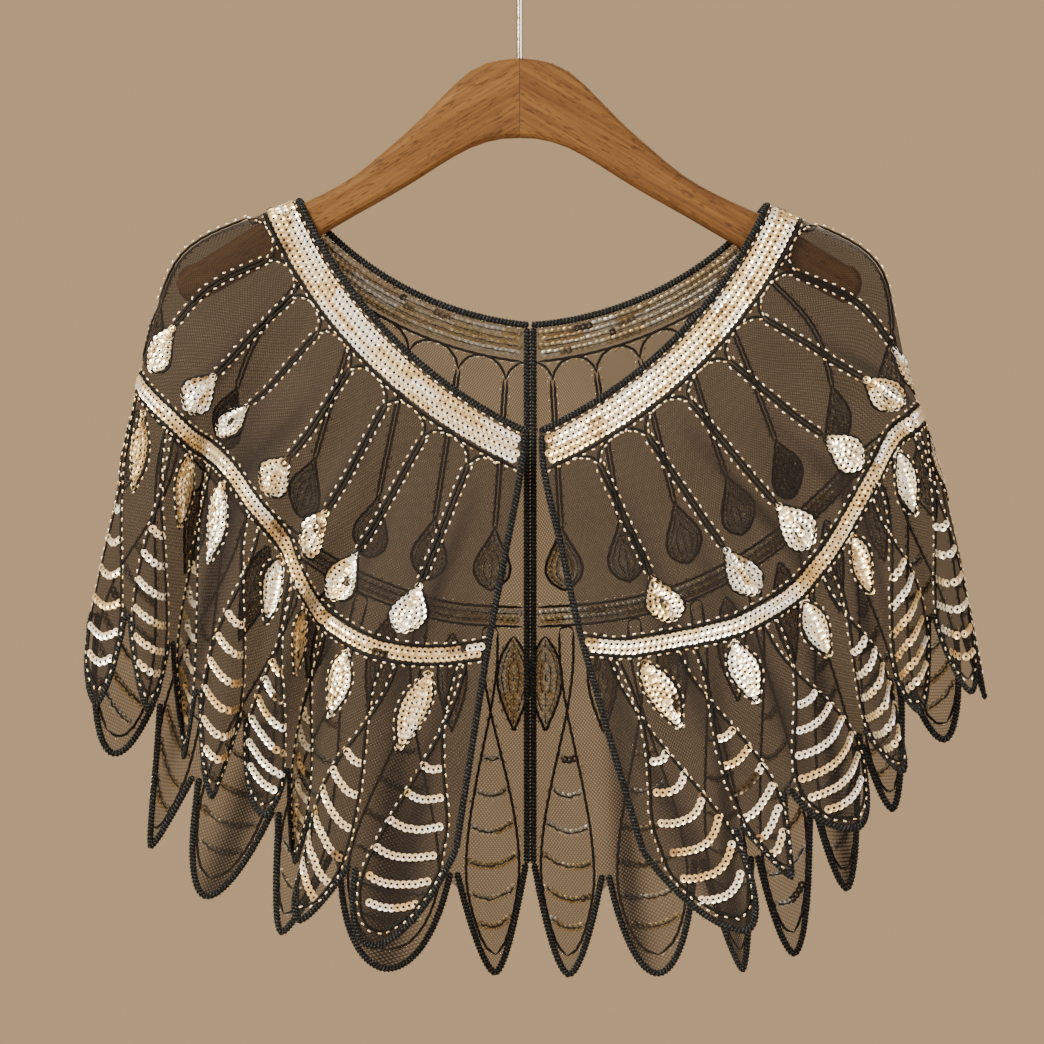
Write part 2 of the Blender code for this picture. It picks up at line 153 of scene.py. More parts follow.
def black_yarn(name, colour, roughness, specular, scale, detail, *stops, relief=(), ribs=None):
    """Spun black yarn: noise in its colour and its relief stands for its fibres; where rib heights are
    given, the ribs' tops are lighter, a painted sheen, and it is darker between them, a painted shade.
    """
    made, tree, surface = new_material(name, colour, roughness, specular=specular)
    fibres = noise(tree, object_place(tree), scale, detail)
    # The colour follows the rib heights: painted sheen on the ribs' tops, painted shade between them.
    tone = arithmetic(tree, "MULTIPLY", attribute(tree, ribs), fibres) if ribs else fibres
    tree.links.new(ramp(tree, tone, *stops), surface.inputs["Base Color"])
    if relief:
        add_relief(tree, surface, fibres, *relief)
    return made


# ---- camera, light and floor -------------------------------------------------------------------------
# A level view from the front at the height of the neckline, as in the photograph, with one large soft light
# high on the left, a weaker one on the right, and pale surroundings.
VIEW_X, VIEW_DROP, VIEW_DISTANCE = 1.5, 366.0, 2600.0
VIEW_WIDTH = 636.8              # millimetres across the frame, at the hanger
SENSOR = 36.0
MM = 0.001                      # metres in a millimetre

bpy.ops.object.camera_add(location=(VIEW_X * MM, -VIEW_DISTANCE * MM, -VIEW_DROP * MM),
                          rotation=(math.radians(90), 0, 0))
camera = bpy.context.object
camera.data.sensor_width = SENSOR
camera.data.lens = SENSOR * VIEW_DISTANCE / VIEW_WIDTH
bpy.context.scene.camera = camera

# Each lamp: place and turn (metres, degrees), width, power and colour.
for place, aim, size, power, warmth in (
        ((-1.5, -1.9, 1.0), (58, 0, -38), 1.1, 215, "#fff6e6"),
        ((1.9, -1.7, 0.1), (76, 0, 48), 1.4, 34, "#f3f0ff"),
        ((0.3, 1.6, 1.3), (-48, 0, -10), 1.2, 42, "#fff6ea")):
    bpy.ops.object.light_add(type="AREA", location=place, rotation=[math.radians(a) for a in aim])
    bpy.context.object.data.size = size
    bpy.context.object.data.energy = power
    bpy.context.object.data.color = linear(warmth)[:3]

world = bpy.data.worlds.new("pale studio")
bpy.context.scene.world = world
world.use_nodes = True
world.node_tree.nodes["Background"].inputs["Color"].default_value = linear("#d3b087")
world.node_tree.nodes["Background"].inputs["Strength"].default_value = 0.85

bpy.ops.mesh.primitive_circle_add(vertices=96, radius=2.2, fill_type="NGON", location=(0, 0, -1.05))
floor = bpy.context.object
floor.name = "floor"
floor.data.materials.append(new_material("pale_matt_paint", "#d6c3ab", 0.9)[0])


# ---- hanger ------------------------------------------------------------------------------------------
# Two flat arms of stained beech, glued at the middle and rounded along their edges. The grain runs along
# each arm and meets at the joint in a chevron. The arms are the frame's own solids with a finer finish.
HANGER_SLOPE = 31.0             # degrees down from the joint to the arm's end, on average
GRAIN_LENGTH, GRAIN_WIDTH = 60.0, 1.7   # of one grain line
FLECK_LENGTH, FLECK_WIDTH = 7.0, 1.1    # of one ray fleck


def stained_beech(name, side):
    """Stained beech: satin varnish over long fine grain, with short dark flecks of the rays."""
    made, tree, surface = new_material(name, "#74502c", 0.6, specular=0.13)
    along = mapped(tree, object_place(tree), turn=(0, -side * HANGER_SLOPE, 0))
    lines = noise(tree, mapped(tree, along, (1000 / GRAIN_LENGTH, 120, 1000 / GRAIN_WIDTH)), 1.0, 4.0,
                  Roughness=0.6)
    broad = noise(tree, mapped(tree, along, (7, 20, 42)), 1.0, 3.0, Distortion=0.6)
    flecks = noise(tree, mapped(tree, along, (1000 / FLECK_LENGTH, 260, 1000 / FLECK_WIDTH)), 1.0, 1.0)
    grain = add_node(tree, "ShaderNodeMix", links=[(2, lines), (3, broad)])
    grain.inputs[0].default_value = 0.45
    colours = ramp(tree, grain.outputs[0], (0.34, "#493019"), (0.47, "#573b1e"), (0.56, "#624523"),
                   (0.68, "#6e4f2c"))
    flecked = mixed(tree, ranged(tree, flecks, 0.58, 0.70, 0.0, 0.62), colours, "#2f1c0d")
    tree.links.new(flecked, surface.inputs["Base Color"])
    tree.links.new(ranged(tree, lines, 0.3, 0.7, 0.72, 0.6), surface.inputs["Roughness"])
    add_relief(tree, surface, lines, 0.2, 0.0003)
    return made


SIDES = ((-1, "left"), (1, "right"))    # each half's sign of x, and its name as seen from the front
for side, label in SIDES:
    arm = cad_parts["hanger_" + label]
    arm.data.materials.clear()
    arm.data.materials.append(stained_beech("stained_beech_" + label, side))

# The dried glue between the arms is a thin dark layer that stops just short of their surface.
GLUE_HALF, GLUE_DEPTH, GLUE_TALL, GLUE_MIDDLE, GLUE_ROUND = 0.17, 5.85, 24.25, -107.4, 4.5
turn = np.radians(np.arange(7.5, 360, 15))
rim_y = np.sign(np.cos(turn)) * (GLUE_DEPTH - GLUE_ROUND) + GLUE_ROUND * np.cos(turn)
rim_z = GLUE_MIDDLE + np.sign(np.sin(turn)) * (GLUE_TALL - GLUE_ROUND) + GLUE_ROUND * np.sin(turn)
rim = [[x * MM, y * MM, z * MM] for x in (-GLUE_HALF, GLUE_HALF) for y, z in zip(rim_y, rim_z)]
count = len(turn)
walls = [[k, (k + 1) % count, (k + 1) % count + count, k + count] for k in range(count)]
glue_mesh = bpy.data.meshes.new("glue_line")
glue_mesh.from_pydata(rim, [], walls + [list(range(count))[::-1], list(range(count, 2 * count))])
glue_mesh.materials.append(new_material("dried_wood_glue", "#2e1d0f", 0.6)[0])
glue_line = bpy.data.objects.new("glue_line", glue_mesh)
bpy.context.scene.collection.objects.link(glue_line)
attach(glue_line, "root")


# ---- net ---------------------------------------------------------------------------------------------
# Fine black nylon tulle, one piece for each half from the front edge to the centre back, laid over the arms
# of the hanger and hanging in folds below them. It is so sheer that the half behind shows through it.
COLUMNS = 14
NECKBAND = 24.0                 # neck edge to the neckband's lower edge
DROP = 322.0                    # neck edge to the tip of a petal, at the front
V_BAND, V_BUST, V_WAIST, V_NOTCH = NECKBAND / DROP, 0.25, 0.45, 0.838
NECK_X, SEAM_X, SEAM_HALF, NECK_HALF = 8.0, 6.5, 0.5, 141.0
SHOULDER_DROP = {-1: 168.3, 1: 171.8}
SHOULDER_U = {-1: 8.0, 1: 7.5}  # fold line on the arm's top; the capelet hangs a little askew
SHOULDER_LIFT = {-1: 28.0, 1: 36.0}     # how far the net is rounded out over the arm's end
SHOULDER_SPREAD = 1.3           # in columns
FRONT_DROP, FRONT_OPEN, FRONT_SAG, FRONT_Y = 309.5, 3.2, 18.0, -25.0
BACK_DROP, BACK_SAG, BACK_Y = 243.0, 16.0, 20.0
GORE, GORE_LEAN = 0.04, 9.0     # the narrow first column: its share of the neck edge, and its slant
BAND_FLARE = 1.12               # how much further from the hanger the neckband's lower edge stands
WOOD, WOOD_ROUND, CLOTH_OFF_WOOD = 12.0, 4.5, 1.3
ARM_HALF = WOOD / 2 + CLOTH_OFF_WOOD
PETAL_ROUND = 1.95              # 2 is a parabola; more is a blunter tip

# Half of the hanger, which the net lies on: x from the middle, drop of the top edge, of the lower edge.
Section = namedtuple("Section", "x top bottom")
HANGER = (
    Section(0.15, 83.0, 131.8), Section(12.0, 84.2, 132.4), Section(26.0, 88.5, 136.2),
    Section(41.0, 100.5, 143.6), Section(58.0, 118.2, 154.4), Section(74.0, 133.0, 164.2),
    Section(102.0, 156.0, 180.0), Section(131.0, 171.4, 196.8), Section(155.0, 182.0, 209.6),
    Section(180.0, 197.2, 223.6), Section(198.0, 208.4, 232.6),
)
HANGER_END_X, BELOW_HANGER = 209.0, 250.0

# One row for each fold line down the sheet: where it crosses the waist band and the tips of the petals.
Fold = namedtuple("Fold", "u waist_x waist_drop waist_y hem_x hem_drop hem_y")
LEFT = (
    Fold(0.0, -17, 442, -34, -44, 614, -38),
    Fold(1.0, -51, 446, -38, -121, 625, -48),
    Fold(1.6, -81, 443, -40, -137, 598, -47),
    Fold(2.0, -101, 435, -36, -134, 585, -30),
    Fold(2.6, -121, 421, -20, -139, 571, -6),
    Fold(3.2, -131, 404, -36, -147, 552, -44),
    Fold(4.0, -141, 380, -28, -176, 528, -30),
    Fold(4.5, -158, 358, -38, -184, 532, -54),
    Fold(5.0, -176, 333, -30, -199, 524, -34),
    Fold(5.6, -189, 322, -10, -206, 506, -4),
    Fold(6.0, -198, 316, -22, -214, 490, -24),
    Fold(6.6, -212, 302, -31, -226, 479, -44),
    Fold(7.0, -225, 289, -20, -240, 478, -26),
    Fold(7.5, -231, 281, -8, -257, 478, -18),
    Fold(8.0, -230, 287, 6, -271, 476, -1),
    Fold(9.0, -190, 331, 18, -236, 538, 20),
    Fold(10.0, -151, 369, 26, -220, 588, 32),
    Fold(11.0, -114, 395, 30, -166, 607, 38),
    Fold(12.0, -77, 412, 33, -128, 634, 33),
    Fold(13.0, -41, 422, 31, -40, 650, 40),
    Fold(14.0, 6.0, 425, 29, 6.0, 640, 33),
)
RIGHT = (
    Fold(0.0, 36, 439, -34, 88, 618, -36),
    Fold(0.5, 53, 441, -37, 137, 612, -46),
    Fold(1.0, 70, 441, -38, 157, 593, -48),
    Fold(2.0, 125, 430, -39, 174, 567, -44),
    Fold(2.5, 148, 420, -35, 206, 550, -40),
    Fold(3.0, 168, 407, -22, 222, 528, -16),
    Fold(3.5, 182, 390, -34, 232, 516, -42),
    Fold(4.0, 197, 368, -24, 235, 498, -24),
    Fold(4.5, 212, 341, -27, 243, 480, -38),
    Fold(5.0, 226, 316, -14, 257, 468, -12),
    Fold(5.5, 237, 306, -26, 272, 470, -34),
    Fold(6.0, 244, 300, -12, 283, 470, -14),
    Fold(7.0, 241, 306, 2, 279, 482, 4),
    Fold(8.0, 214, 325, 15, 246, 521, 20),
    Fold(9.0, 186, 353, 24, 219, 566, 28),
    Fold(10.0, 158, 378, 28, 190, 616, 34),
    Fold(11.0, 125, 399, 30, 152, 644, 24),
    Fold(12.0, 89, 414, 33, 119, 642, 42),
    Fold(13.0, 50, 422, 31, 54, 652, 38),
    Fold(14.0, 7.0, 425, 29, 7.0, 640, 33),
)

# Small creases between the folds: start and end in v, depth out of the cloth (below 0 is a hollow), width
# across in columns, and how far it leans over its length.
Crease = namedtuple("Crease", "side u start end depth width lean")
CREASES = (
    Crease(-1, 0.55, 0.30, 1.0, -2.6, 0.22, -0.3),
    Crease(-1, 1.30, 0.12, 0.62, 2.2, 0.20, 0.2),
    Crease(-1, 2.25, 0.20, 0.80, -3.0, 0.16, -0.2),
    Crease(-1, 3.60, 0.10, 0.55, 2.8, 0.22, 0.3),
    Crease(-1, 4.75, 0.15, 0.70, -2.4, 0.15, 0.1),
    Crease(-1, 6.25, 0.14, 0.60, 2.6, 0.20, -0.2),
    Crease(-1, 9.40, 0.25, 0.95, 2.8, 0.24, 0.2),
    Crease(-1, 10.7, 0.40, 1.0, -3.2, 0.30, -0.3),
    Crease(-1, 12.4, 0.30, 1.0, 2.8, 0.26, 0.2),
    Crease(1, 0.35, 0.35, 1.0, 2.4, 0.18, 0.2),
    Crease(1, 1.45, 0.14, 0.75, -2.8, 0.24, -0.3),
    Crease(1, 2.20, 0.25, 0.95, 2.4, 0.16, 0.1),
    Crease(1, 3.25, 0.12, 0.50, -2.4, 0.20, 0.2),
    Crease(1, 4.20, 0.18, 0.80, 2.6, 0.14, -0.1),
    Crease(1, 5.75, 0.16, 0.66, -2.2, 0.20, 0.2),
    Crease(1, 8.50, 0.30, 0.90, -2.8, 0.24, 0.1),
    Crease(1, 9.60, 0.25, 1.0, 2.6, 0.28, -0.2),
    Crease(1, 11.4, 0.35, 1.0, -3.0, 0.26, 0.3),
    Crease(1, 12.8, 0.40, 1.0, 2.2, 0.24, -0.2),
)
PLEAT_SHADE_WIDTH, PLEAT_SHADE_COVER = 0.62, 0.34     # of a crease's width; added cover along the creases, a painted shade of the pleats


def smooth(places, values, at):
    """A smooth curve through values at places, read at many points, which may each have their own values."""
    places = np.asarray(places, float)
    values = np.asarray(values, float)
    steps = places.reshape([-1] + [1] * (values.ndim - 1))
    slopes = np.empty_like(values)
    slopes[1:-1] = (values[2:] - values[:-2]) / (steps[2:] - steps[:-2])
    slopes[0] = (values[1] - values[0]) / (steps[1] - steps[0])
    slopes[-1] = (values[-1] - values[-2]) / (steps[-1] - steps[-2])
    at = np.clip(at, places[0], places[-1])
    i = np.clip(np.searchsorted(places, at) - 1, 0, len(places) - 2)
    width = places[i + 1] - places[i]
    t = (at - places[i]) / width
    pick = (i,) if values.ndim == 1 else (i, np.arange(len(at)))
    after = (i + 1,) + pick[1:]
    return (values[pick] * (2 * t ** 3 - 3 * t ** 2 + 1) + values[after] * (3 * t ** 2 - 2 * t ** 3)
            + slopes[pick] * width * (t ** 3 - 2 * t ** 2 + t) + slopes[after] * width * (t ** 3 - t ** 2))


def unit(vectors):
    return vectors / np.maximum(np.linalg.norm(vectors, axis=-1, keepdims=True), 1e-9)


def hanger_outline():
    """Half the hanger seen from the front: along the top, round the end and back along the bottom."""
    x = np.linspace(HANGER[0].x, HANGER[-1].x, 21)
    places = [row.x for row in HANGER]
    top = np.stack([x, -smooth(places, [row.top for row in HANGER], x)], axis=1)
    bottom = np.stack([x, -smooth(places, [row.bottom for row in HANGER], x)], axis=1)
    middle, half = (top[-1] + bottom[-1]) / 2, (top[-1] - bottom[-1]) / 2
    angle = np.radians(np.arange(30, 180, 30))[:, None]
    turn = middle + half * np.cos(angle) + np.array([HANGER_END_X - HANGER[-1].x, 0]) * np.sin(angle)
    return np.concatenate([top, turn, bottom[::-1]])


OUTLINE = hanger_outline()


def off_wood(points):
    """Where the sheet would touch an arm of the hanger, it is laid over it."""
    near = (np.abs(points[:, 1]) <= ARM_HALF) & (points[:, 2] > -BELOW_HANGER)
    if not near.any():
        return points
    p = points[near]
    x, z = np.abs(p[:, 0])[:, None], p[:, 2][:, None]
    start, run = OUTLINE[:-1], OUTLINE[1:] - OUTLINE[:-1]
    share = ((x - start[:, 0]) * run[:, 0] + (z - start[:, 1]) * run[:, 1]) / (run ** 2).sum(axis=1)
    share = np.clip(share, 0, 1)
    away_x = x - start[:, 0] - run[:, 0] * share
    away_z = z - start[:, 1] - run[:, 1] * share
    distance = np.hypot(away_x, away_z)
    nearest = distance.argmin(axis=1)
    row = np.arange(len(p))
    crossed = (start[:, 1] > z) != (OUTLINE[1:, 1] > z)
    slope = run[:, 0] / np.where(run[:, 1] == 0, 1e-9, run[:, 1])
    crossed &= x < start[:, 0] + slope * (z - start[:, 1])
    inside = np.where(crossed.sum(axis=1) % 2 == 1, -1.0, 1.0)
    outside = distance[row, nearest] * inside
    scale = np.maximum(distance[row, nearest], 1e-6) * inside
    over_edge = np.maximum(outside + WOOD_ROUND, 0)
    over_face = np.maximum(np.abs(p[:, 1]) - WOOD / 2 + WOOD_ROUND, 0)
    reach = np.hypot(over_edge, over_face)
    wanted = WOOD_ROUND + CLOTH_OFF_WOOD
    push = wanted / np.maximum(reach, 1e-6) - 1
    way_x = away_x[row, nearest] / scale
    way_z = away_z[row, nearest] / scale
    moved = p + np.stack([np.sign(p[:, 0]) * way_x * over_edge * push,
                          np.sign(p[:, 1]) * over_face * push, way_z * over_edge * push], axis=1)
    flat = np.stack([p[:, 0], np.copysign(ARM_HALF, p[:, 1]), p[:, 2]], axis=1)
    on_face = ((over_edge < over_face) | (reach < 1e-6))[:, None]
    result = points.copy()
    result[near] = np.where((reach >= wanted)[:, None], p, np.where(on_face, flat, moved))
    return result


def arc(start, end, sag, share):
    """Points and outward directions on an arc that hangs below the chord from start to end."""
    chord = end - start
    length = np.linalg.norm(chord)
    along = chord / length
    below = np.array([along[2], 0, -along[0]]) * (1 if along[0] > 0 else -1)
    radius = (length ** 2 / 4 + sag ** 2) / (2 * sag)
    angle = (math.asin(length / (2 * radius)) * (2 * share - 1))[:, None]
    point = start + along * (length / 2 + radius * np.sin(angle))
    point = point + below * (sag - radius * (1 - np.cos(angle)))
    outward = below * np.cos(angle) + along * np.sin(angle)
    return point, outward, along * np.cos(angle) - below * np.sin(angle)


def neck(side, u):
    """The neck edge and the neckband's lower edge on each fold line."""
    shoulder = np.array([NECK_X + side * NECK_HALF, 0, -SHOULDER_DROP[side]])
    top = SHOULDER_U[side]
    to_front = np.where(u < 1, GORE * u, GORE + (1 - GORE) * (u - 1) / (top - 1))
    to_front = np.clip(to_front, 0, 1)
    front_end = np.array([NECK_X + side * FRONT_OPEN, 0, -FRONT_DROP])
    point_f, outward_f, along_f = arc(shoulder, front_end, FRONT_SAG, 1 - to_front)
    over_arm = ARM_HALF * np.minimum(1.0, np.abs(u - top) * 4)
    deep_f = -over_arm + (FRONT_Y + ARM_HALF) * np.sin(np.pi / 2 * (1 - to_front))
    lean = along_f * GORE_LEAN * np.maximum(0.0, 1 - u)[:, None]
    to_back = np.clip((u - top) / (COLUMNS - top), 0, 1)
    back_end = np.array([SEAM_X + side * SEAM_HALF, 0, -BACK_DROP])
    point_b, outward_b, _ = arc(shoulder, back_end, BACK_SAG, to_back)
    deep_b = over_arm + (BACK_Y - ARM_HALF) * np.sin(np.pi / 2 * to_back)
    outward_b = unit(outward_b * (1 - to_back)[:, None] + np.array([0, 0, -1.0]) * to_back[:, None])
    front = (u <= top)[:, None]
    point = np.where(front, point_f, point_b)
    outward = np.where(front, outward_f, outward_b)
    deep = np.zeros_like(point)
    deep[:, 1] = np.where(u <= top, deep_f, deep_b)
    blend = np.maximum(0.0, 1 - np.abs(u - top))[:, None]
    outward = unit(outward + np.array([side, 0, -0.35]) * blend)
    return point + deep, point + deep * BAND_FLARE + outward * NECKBAND + np.where(front, lean, 0)


def crease_shape(crease, u, v):
    """One crease at each point: its strength there, and how far across it the point lies, in its widths."""
    down = (v - crease.start) / (crease.end - crease.start)
    strength = np.sin(np.pi * np.clip(down, 0, 1)) if crease.end < 1 else np.clip(down * 1.6, 0, 1)
    return strength, (u - crease.u - crease.lean * (down - 0.5)) / crease.width


def painted_pleat_shade(side, u, v):
    """Painted shade of the pleats, from 0 to 1: most along the creases, where it darkens the net."""
    pleat_darkness = np.zeros_like(u)
    for crease in CREASES:
        if crease.side == side:
            strength, across = crease_shape(crease, u, v)
            pleat_darkness = np.maximum(pleat_darkness, strength * np.exp(-(across / PLEAT_SHADE_WIDTH) ** 2))
    return pleat_darkness


def sheet(side, u, v):
    """Points on the middle of one half's net, for matching arrays of u and v."""
    u, v = np.broadcast_arrays(np.atleast_1d(np.asarray(u, float)), np.asarray(v, float))
    rows = LEFT if side < 0 else RIGHT
    places = [row.u for row in rows]
    edge, band = neck(side, u)
    waist = np.stack([smooth(places, [row.waist_x for row in rows], u),
                      smooth(places, [row.waist_y for row in rows], u),
                      -smooth(places, [row.waist_drop for row in rows], u)], axis=1)
    hem = np.stack([smooth(places, [row.hem_x for row in rows], u),
                    smooth(places, [row.hem_y for row in rows], u),
                    -smooth(places, [row.hem_drop for row in rows], u)], axis=1)
    middle = band + (waist - band) * (V_BUST - V_BAND) / (V_WAIST - V_BAND)
    lift = SHOULDER_LIFT[side] * np.exp(-((u - SHOULDER_U[side]) / SHOULDER_SPREAD) ** 2)
    middle = middle + np.array([side * 0.65, 0, 0.75]) * lift[:, None]
    stations = (0.0, V_BAND, V_BUST, V_WAIST, 1.0)
    lines = np.stack([edge, band, middle, waist, hem])
    points = np.stack([smooth(stations, lines[:, :, axis], v) for axis in range(3)], axis=1)
    turn = np.pi * np.clip((u - SHOULDER_U[side]) / 3 + 0.5, 0, 1)
    outward = np.stack([side * np.sin(turn), -np.cos(turn), 0 * turn], axis=1)
    for crease in CREASES:
        if crease.side == side:
            strength, across = crease_shape(crease, u, v)
            points = points + outward * (crease.depth * strength * np.exp(-across ** 2))[:, None]
    return off_wood(points)


def axes(side, u, v):
    """Directions on the sheet: along u, along v, and out of its right side."""
    u, v = np.broadcast_arrays(np.atleast_1d(np.asarray(u, float)), np.asarray(v, float))
    step = 0.05
    across = sheet(side, np.minimum(u + step, COLUMNS), v) - sheet(side, np.maximum(u - step, 0), v)
    down = sheet(side, u, np.minimum(v + step / 5, 1)) - sheet(side, u, np.maximum(v - step / 5, 0))
    return unit(across), unit(down), unit(np.cross(down, across)) * side


def hem_v(u):
    """The petals: v of the hem at u. Each column ends in one rounded point, with a notch either side."""
    offset = np.abs(2 * (u - np.floor(u)) - 1)
    return V_NOTCH + (1 - V_NOTCH) * (1 - offset ** PETAL_ROUND)


def add_piece(name, points, faces, finish, attributes=()):
    """A mesh object from points in millimetres, riding on the capelet's one body."""
    mesh = bpy.data.meshes.new(name)
    mesh.from_pydata((points * MM).tolist(), [], faces.tolist())
    mesh.materials.append(finish)
    mesh.shade_smooth()
    for label, values in dict(attributes).items():
        layer = mesh.attributes.new(label, "FLOAT", "POINT")
        layer.data.foreach_set("value", np.asarray(values, np.float32))
    made = bpy.data.objects.new(name, mesh)
    bpy.context.scene.collection.objects.link(made)
    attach(made, "root")
    return made


def grid_faces(rows, columns):
    """Quads of a grid of points in row order."""
    first = (np.arange(rows - 1)[:, None] * columns + np.arange(columns - 1)).ravel()
    return np.stack([first, first + 1, first + columns + 1, first + columns], axis=1)


def black_tulle():
    """Nylon tulle: matt, brown where light comes through, its diagonal mesh drawn at 1.4 mm to show, with
    painted shade of the pleats as more cover along the creases.
    """
    made, tree, surface = new_material("black_nylon_tulle", "#140e0a", 0.8, specular=0.2)
    surface.inputs["Sheen Weight"].default_value = 0.08
    cloth = add_node(tree, "ShaderNodeUVMap", settings={"uv_map": "cloth"}).outputs["UV"]
    turned = [mapped(tree, cloth, turn=(0, 0, angle)) for angle in (38, -52)]
    threads = [add_node(tree, "ShaderNodeTexWave", links=[("Vector", where)], Scale=2.24, Distortion=0.4,
                        Detail_Scale=0.6).outputs["Fac"] for where in turned]
    crossing = arithmetic(tree, "MAXIMUM", *threads)
    uneven = arithmetic(tree, "MULTIPLY_ADD", noise(tree, cloth, 0.35, 2.0), 0.3, crossing)
    cover = ranged(tree, uneven, 0.2, 1.15, 0.35, 0.70)
    # More cover along the creases darkens the net there: a painted shade of the pleats.
    cover_with_pleat_shade = arithmetic(tree, "MULTIPLY_ADD", attribute(tree, "pleat_shade"), PLEAT_SHADE_COVER, cover, clamp=True)
    tree.links.new(cover_with_pleat_shade, surface.inputs["Alpha"])
    return made


NET_CELLS = 12                  # across a column
NET_ROWS = 84
COLUMN_WIDTH = 46.0             # a column at the waist, for the weave's scale
SHORT_U, SHORT_V = 0.04, 0.006  # the net ends this far inside the edges that the cords cover
tulle = black_tulle()
for side, label in SIDES:
    across = np.linspace(SHORT_U, COLUMNS - SHORT_U, COLUMNS * NET_CELLS + 1)
    share = np.linspace(0, 1, NET_ROWS)
    u = np.tile(across, NET_ROWS)
    v = SHORT_V + (hem_v(u) - 2 * SHORT_V) * np.repeat(share, len(across))
    faces = grid_faces(NET_ROWS, len(across))
    if side < 0:
        faces = faces[:, ::-1]
    # The creases of the net carry a painted shade of the pleats, which its material reads as more cover.
    pleat_shade = {"pleat_shade": painted_pleat_shade(side, u, v)}
    net = add_piece("net_" + label, sheet(side, u, v), faces, tulle, pleat_shade)
    weave = net.data.uv_layers.new(name="cloth")
    corner = np.empty(len(net.data.loops), np.int32)
    net.data.loops.foreach_get("vertex_index", corner)
    flat = np.stack([u * COLUMN_WIDTH, v * DROP], axis=1)[corner] / 10
    weave.data.foreach_set("uv", flat.ravel().astype(np.float32))
    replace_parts(net, "body_" + label)


# ---- fuzzy edge cord ---------------------------------------------------------------------------------
# Thick black rayon chenille, couched along every edge: the neck, the two fronts, each petal of the hem, and
# doubled over the centre back seam. Its wrapping thread makes fine ribs, painted blue-grey on their tops as
# a painted sheen and near black between them as painted shade, and it is a little hairy.
CORD_HALF, CORD_DEEP = 2.0, 1.25
SEAM_INSET = 0.72 * CORD_HALF   # the two cords of the seam press together
RIB = 2.2                       # from one turn of the wrapping thread to the next
RIB_STEP = RIB / 4
RIB_HIGH = 0.34                 # of the cord's width
WANDER, WANDER_MOST = 0.05, 0.4     # the cord strays in and out of the cloth by this a step, and at most
HAIR_LONG, HAIR_HALF = 1.9, 0.14


def even_steps(points, spacing, start=0.0, end=0.0):
    """Places along a polyline, as fractional indices, one for each step, with the ends left clear."""
    lengths = np.concatenate([[0], np.cumsum(np.linalg.norm(np.diff(points, axis=0), axis=1))])
    usable = lengths[-1] - start - end
    if usable <= 0:
        return np.zeros(0)
    count = max(int(round(usable / spacing)), 1)
    wanted = start + usable * np.arange(count + 1) / count
    return np.interp(wanted, lengths, np.arange(len(points)))


def read_at(values, places):
    """Rows of an array read at fractional indices."""
    low = np.clip(places.astype(int), 0, len(values) - 2)
    share = (places - low).reshape([-1] + [1] * (values.ndim - 1))
    return values[low] * (1 - share) + values[low + 1] * share


def tube(points, outward, half_width, half_depth, sides, ribs=0.0):
    """Points and quads of a tube, with a lumpy surface if it has ribs; also how high each point stands."""
    along = unit(np.gradient(points, axis=0))
    aside = unit(np.cross(outward, along))
    outward = np.cross(along, aside)
    count = len(points)
    taper = np.minimum(1, 0.35 + 0.65 * np.minimum(np.arange(count), np.arange(count)[::-1]) / 2)
    angle = 2 * np.pi * np.arange(sides) / sides
    phase = np.pi / 2 * np.arange(count)[:, None] + 2 * angle
    high = 0.5 + 0.5 * np.sin(phase)
    size = (1 + ribs * (high - 0.5)) * taper[:, None]
    ring = (points[:, None] + aside[:, None] * (half_width * np.cos(angle) * size)[..., None]
            + outward[:, None] * (half_depth * np.sin(angle) * size)[..., None])
    i = (np.arange(count - 1)[:, None] * sides + np.arange(sides)).ravel()
    j = (np.arange(count - 1)[:, None] * sides + (np.arange(sides) + 1) % sides).ravel()
    return ring.reshape(-1, 3), np.stack([i, j, j + sides, i + sides], axis=1), high.ravel()


def add_parts(name, parts, finish, attribute=None):
    """One piece from several (points, faces, values) sets; the values make its attribute, if it has one."""
    starts = np.cumsum([0] + [len(part[0]) for part in parts])
    points = np.concatenate([part[0] for part in parts])
    faces = np.concatenate([part[1] + start for part, start in zip(parts, starts)])
    values = np.concatenate([part[2] for part in parts])
    return add_piece(name, points, faces, finish, {attribute: values} if attribute else ())


def hairs(rng, points, outward):
    """Short tapered hairs that stand out of a cord, as slivers of one quad each."""
    along = unit(np.gradient(points, axis=0))
    aside = unit(np.cross(outward, along))
    angle = rng.uniform(0, 2 * np.pi, len(points))[:, None]
    way = aside * np.cos(angle) + outward * np.sin(angle) * 0.6
    root = points + (aside * np.cos(angle) * CORD_HALF + outward * np.sin(angle) * CORD_DEEP) * 0.85
    way = unit(way + along * rng.normal(0, 0.8, (len(points), 1)))
    tip = root + way * rng.uniform(0.4, HAIR_LONG, (len(points), 1))
    half = along * HAIR_HALF
    quads = np.stack([root - half, root + half, tip + half * 0.3, tip - half * 0.3], axis=1)
    return quads.reshape(-1, 3), np.arange(len(points) * 4).reshape(-1, 4), np.full(len(points) * 4, 0.3)


def couched_cord(side, rng, u, v, inset):
    """A fuzzy cord along a line on the sheet, its middle moved sideways into the cloth."""
    points, outward = sheet(side, u, v), axes(side, u, v)[2]
    along = unit(np.gradient(points, axis=0))
    points = points + unit(np.cross(outward, along)) * inset
    places = even_steps(points, RIB_STEP)
    points, outward = read_at(points, places), unit(read_at(outward, places))
    wander = np.cumsum(rng.normal(0, WANDER, len(points)))
    wander = wander - np.interp(np.arange(len(points)), [0, len(points) - 1], wander[[0, -1]])
    points = points + outward * np.clip(wander, -WANDER_MOST, WANDER_MOST)[:, None]
    return [tube(points, outward, CORD_HALF, CORD_DEEP, 8, ribs=RIB_HIGH), hairs(rng, points, outward)]
